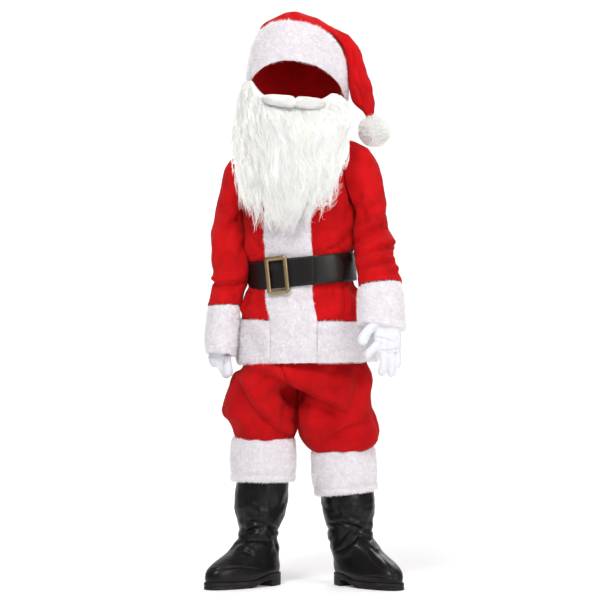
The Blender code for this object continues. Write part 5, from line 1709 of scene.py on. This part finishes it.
# The false beard and moustache: a backing, and wavy locks that gather toward their tips

beard = dict(
    rows=[
        # x, right, left, front, side, thickness, from the mouth to the tips
        (-6, 97, 88, -101, -42, 14), (-5, 105, 97, -116, -46, 17), (-4, 108, 104, -126, -56, 19),
        (-4, 108, 106, -131, -66, 20), (-6, 106, 106, -132, -76, 18), (-10, 100, 108, -128, -88, 13),
        (-14, 92, 110, -122, -98, 7)],
    mouth=854.0, ears=(898.0, 875.0), tip=642.0, turn=-9.0, sunk=4.4,
    locks=int(270 * (1.0)), strandsEach=15, steps=14, radius=0.46, seed=5,
    wisps=[
        # share, down, length, curl, lift
        (-0.93, 0.60, 0.34, -0.10, 9.0), (-0.86, 0.72, 0.30, -0.07, 6.0), (-0.96, 0.42, 0.34, -0.08, 7.0),
        (0.86, 0.66, 0.40, 0.08, 4.0), (0.78, 0.76, 0.36, 0.12, 4.0), (0.90, 0.52, 0.36, 0.05, 3.0),
        (0.62, 0.80, 0.34, 0.14, 5.0), (-0.72, 0.80, 0.26, -0.05, 5.0), (0.50, 0.84, 0.30, 0.14, 4.0),
        (-0.55, 0.84, 0.20, -0.03, 3.0), (0.38, 0.86, 0.26, 0.16, 4.0), (-0.98, 0.26, 0.34, -0.05, 6.0)])


def beardSurface(share, down, out=0.0):
    # share runs from the wearer's right edge, -1, to the left, 1; down from the mouth, 0, to the tips, 1
    share, down, out = np.broadcast_arrays(share, down, out)
    x, right, left, front, side, _ = alongTable(beard["rows"], np.clip(down, 0.0, 1.0) * 6.0)
    swing = math.radians(82.0) * share
    ears = np.where(share < 0.0, *beard["ears"])
    top = beard["mouth"] + (ears - beard["mouth"]) * np.minimum(np.abs(share) * 1.45, 1.0) ** 2.0
    bottom = beard["tip"] + 96.0 * np.maximum(-share, 0.0) ** 1.9 + 152.0 * np.maximum(share, 0.0) ** 1.6
    wide = x + (np.where(share < 0.0, right, left) + out) * np.sin(swing) / math.sin(math.radians(82.0))
    deep = side + (front - side - out) * np.cos(swing)
    turn = math.radians(beard["turn"])
    return np.stack([wide * math.cos(turn) - deep * math.sin(turn) * 0.55,
                     wide * math.sin(turn) + deep * math.cos(turn), top + (bottom - top) * down], axis=-1)


def makeBeardBacking():
    shares = np.linspace(-1.0, 1.0, int(120 * detail))[None, :]
    downs = np.linspace(1.0, 0.0, int(90 * detail))[:, None]
    # the upper corners are rounded and the lower edge is ragged, under the locks
    ragged = 0.89 + 0.022 * np.sin(shares * 23.0) + 0.016 * np.sin(shares * 61.0 + 1.0)
    reach = np.where(shares < 0.0, 1.0, 0.88) - 0.03 * np.exp(-downs / 0.03)
    grid = beardSurface(shares * reach, -0.02 + downs * (ragged + 0.02))
    thickness = alongTable(beard["rows"], downs * 6.0)[5]
    edges = 1.0 - 0.72 * np.abs(shares) ** 4.0
    locks = 1.4 * np.sin(shares * 19.0) * np.clip(downs, 0.2, 1.0)
    fine = 0.8 * np.sin(shares * 74.0 + 3.0 * np.sin(downs * 9.0))
    fine = fine + 0.5 * np.sin(shares * 131.0 + 5.0 * downs)
    backing = addShell("beardBacking", grid, finishes["beardBase"], locks + fine - beard["sunk"],
                       np.maximum(thickness * edges * (1.0 - 0.6 * downs ** 8.0), beard["sunk"] + 1.5), False)
    wears(backing, "false_beard")


def makeStrandTree():
    tree, given = newTree("strandTree", {"Radius": 0.0005, "Finish": None})
    curve = tree.node("GeometryNodeMeshToCurve", None, {"Mesh": given["Geometry"]})
    factor = tree.node("GeometryNodeSplineParameter")
    thin = (1.0 - factor ** 2.4 * 0.82) * (0.55 + (factor * 6.0).smallest(1.0) * 0.45)
    curve = tree.stored(curve, "tip", factor)
    curve = tree.node("GeometryNodeSetCurveRadius", None, {"Curve": curve, "Radius": thin})
    ring = tree.node("GeometryNodeCurvePrimitiveCircle", None, {"Resolution": 3, "Radius": given["Radius"]})
    made = tree.tree.nodes.new("GeometryNodeCurveToMesh")
    tree.tree.links.new(curve.socket, made.inputs["Curve"])
    tree.tree.links.new(ring.socket, made.inputs["Profile Curve"])
    if "Scale" in made.inputs:
        tree.tree.links.new(tree.node("GeometryNodeInputRadius").socket, made.inputs["Scale"])
    made.inputs["Fill Caps"].default_value = True
    endTree(tree, Wire(tree, made.outputs["Mesh"]), given["Finish"])
    return tree.tree


strandTree = makeStrandTree()


def strandPiece(name, node, paths, odds, radius):
    # paths is an array of strands by steps by 3
    strands, steps = paths.shape[:2]
    placed = paths.reshape(-1, 3) * mm
    placed[:, 2] -= hangHeight * mm
    first = (np.arange(strands)[:, None] * steps + np.arange(steps - 1)[None, :]).ravel()
    mesh = bpy.data.meshes.new(name + "Lines")
    mesh.from_pydata(placed.tolist(), np.stack([first, first + 1], axis=-1).tolist(), [])
    odd = mesh.attributes.new("odd", "FLOAT", "POINT")
    odd.data.foreach_set("value", np.repeat(odds, steps).astype(np.float32))
    source = bpy.data.objects.new(name + "Lines", mesh)
    bpy.context.collection.objects.link(source)
    made = grown(source, strandTree, {"Radius": radius * mm, "Finish": finishes["hair"]}, name)
    made.data.shade_smooth()
    wears(made, node)
    printFaces(made)
    return made


def lockPaths(random, share, down, length, strands, curl, lift, gather):
    # strands of one lock: they start apart, wave together and gather toward the tip
    t = np.linspace(0.0, 1.0, beard["steps"])[None, :]
    spreadShare = random.normal(0.0, 0.034, (strands, 1))
    spreadDown = random.normal(0.0, 0.018, (strands, 1)) * min(1.0, 0.3 + max(down, 0.0) * 8.0)
    phase = random.uniform(0.0, math.tau)
    waves = random.uniform(1.1, 2.0)
    bend = random.normal(0.0, 0.032)
    near = 1.0 - gather * smoothStep(t * 1.15)
    sway = (0.012 + 0.024 * t) * np.sin(math.tau * waves * t + phase + random.normal(0.0, 0.5, (strands, 1)))
    shares = np.clip(share + spreadShare * near + sway + bend * t + curl * t ** 2.4, -1.0, 0.985)
    reach = length * (1.0 + random.normal(0.0, 0.15, (strands, 1)))
    downs = down + spreadDown + reach * t
    depth = -3.0 + random.uniform(-1.2, 1.3, (strands, 1)) * near
    depth = depth + 1.8 * np.sin(math.tau * waves * t + phase + 1.3) * t
    depth = depth + lift * smoothStep(t) + 1.4 * np.sin(math.pi * t)
    depth = depth - 3.0 * smoothStep((0.10 - t) / 0.10)
    return beardSurface(shares, downs, depth)


def makeBeard():
    makeBeardBacking()
    random = np.random.default_rng(beard["seed"])
    layers = []
    for lock in range(beard["locks"]):
        # locks are laid from the tips up, so that the upper ones cover the roots of the lower ones
        level = 1.0 - (lock + 0.5) / beard["locks"]
        share = random.uniform(-0.97, 0.97)
        down = np.clip(level * 0.80 + random.normal(0.0, 0.03), -0.005, 0.80)
        length = random.uniform(0.20, 0.34)
        if down + length > 1.04:
            length = 1.04 - down + random.uniform(-0.05, 0.06)
        edge = abs(share) ** 3.0
        curl = 0.05 * share * edge + random.normal(0.0, 0.012)
        layers.append(lockPaths(random, share, down, length, beard["strandsEach"], curl,
                                1.0 + 1.6 * edge * random.random(), 0.45))
    for share, down, length, curl, lift in beard["wisps"]:
        for _ in range(2):
            at, low = share + random.normal(0.0, 0.02), down + random.normal(0.0, 0.02)
            layers.append(lockPaths(random, at, low, length, 9, curl * random.uniform(0.7, 1.2), lift, 0.55))
    # locks all the way down both side edges
    for side in (-1.0, 1.0):
        for down in np.linspace(0.66, 0.02, 9):
            layers.append(lockPaths(random, side * 0.955, down, random.uniform(0.22, 0.30), 10,
                                    side * 0.01, 1.0, 0.4))
    # a row of short locks hides the top edge
    for share in np.linspace(-0.97, 0.97, 52):
        layers.append(lockPaths(random, share, random.uniform(-0.02, 0.02), random.uniform(0.12, 0.22), 12,
                                random.normal(0.0, 0.012), random.uniform(0.0, 1.6), 0.5))
    # fine ends all along the lower edge
    for share in np.linspace(-0.94, 0.94, 44):
        share = share + random.normal(0.0, 0.02)
        layers.append(lockPaths(random, share, random.uniform(0.76, 0.84), random.uniform(0.16, 0.25), 7,
                                0.04 * share + random.normal(0.0, 0.02), random.uniform(0.5, 3.0), 0.45))
    third = len(layers) // 3
    for name, part in (("beardLocksLower", layers[:third]), ("beardLocksMiddle", layers[third:third * 2]),
                       ("beardLocksUpper", layers[third * 2:])):
        paths = np.concatenate(part)
        strandPiece(name, "false_beard", paths, random.random(len(paths)), beard["radius"])


def moustacheRing(share, angle, grow=0.0):
    # a point of the moustache's skin, from share -1 at the right end to 1 at the left
    share, angle = np.broadcast_arrays(share, angle)
    base = beardSurface(0.05 + share * 0.46, 0.0, 7.0 - 7.0 * share ** 2)
    base[..., 2] = beard["mouth"] + 5.0 * np.abs(share) ** 2.0
    droop = 14.0 - 5.0 * np.abs(share) ** 2.0 - 11.0 * share
    size = 1.0 - 0.42 * np.abs(share) ** 3.0 - 0.22 * bell(share, 0.0, 0.05)
    size = size * np.sqrt(np.maximum(1.0 - np.abs(share) ** 9.0, 0.02))
    swing = np.radians(share * 50.0)
    outward = np.cos(angle) * (9.0 * size + grow)
    rise = droop * 0.5 + np.sin(angle) * (9.6 * size + grow)
    return base + np.stack([np.sin(swing) * outward, -np.cos(swing) * outward, rise], axis=-1)


def makeMoustache():
    shares = np.linspace(-1.0, 1.0, int(80 * detail))[:, None]
    angles = np.linspace(0.0, math.tau, 32, endpoint=False)[None, :]
    rings = moustacheRing(shares, -angles, -1.6)
    points, faces = ringMesh(list(rings))
    uvs = np.stack([np.tile(np.linspace(0.0, 0.07, 32), len(rings)),
                    np.repeat(shares.ravel() * 0.06, 32)], axis=-1)
    core = addMesh("moustacheCore", points, faces, finishes["beardBase"], uvs, tidy=True)
    wears(core, "false_moustache")
    random = np.random.default_rng(9)
    strands = int(520 * (1.0))
    t = np.linspace(0.0, 1.0, 13)[None, :]
    side = np.where(random.random(strands) < 0.5, -1.0, 1.0)[:, None]
    start = random.uniform(0.0, 0.62, (strands, 1))
    end = np.minimum(start + random.uniform(0.30, 0.52, (strands, 1)), 1.02)
    angle = random.uniform(-math.pi * 0.72, math.pi * 0.72, (strands, 1))
    along = start + (end - start) * t
    swirl = angle - 0.35 * t + 0.10 * np.sin(t * 9.0 + random.uniform(0.0, math.tau, (strands, 1)))
    grow = -1.2 + 1.6 * np.sin(math.pi * t) + random.uniform(-0.4, 0.7, (strands, 1))
    paths = moustacheRing(side * along, swirl, grow)
    strandPiece("moustacheHair", "false_moustache", paths, random.random(strands), 0.45)


makeBeard()
makeMoustache()
print("beard ready")
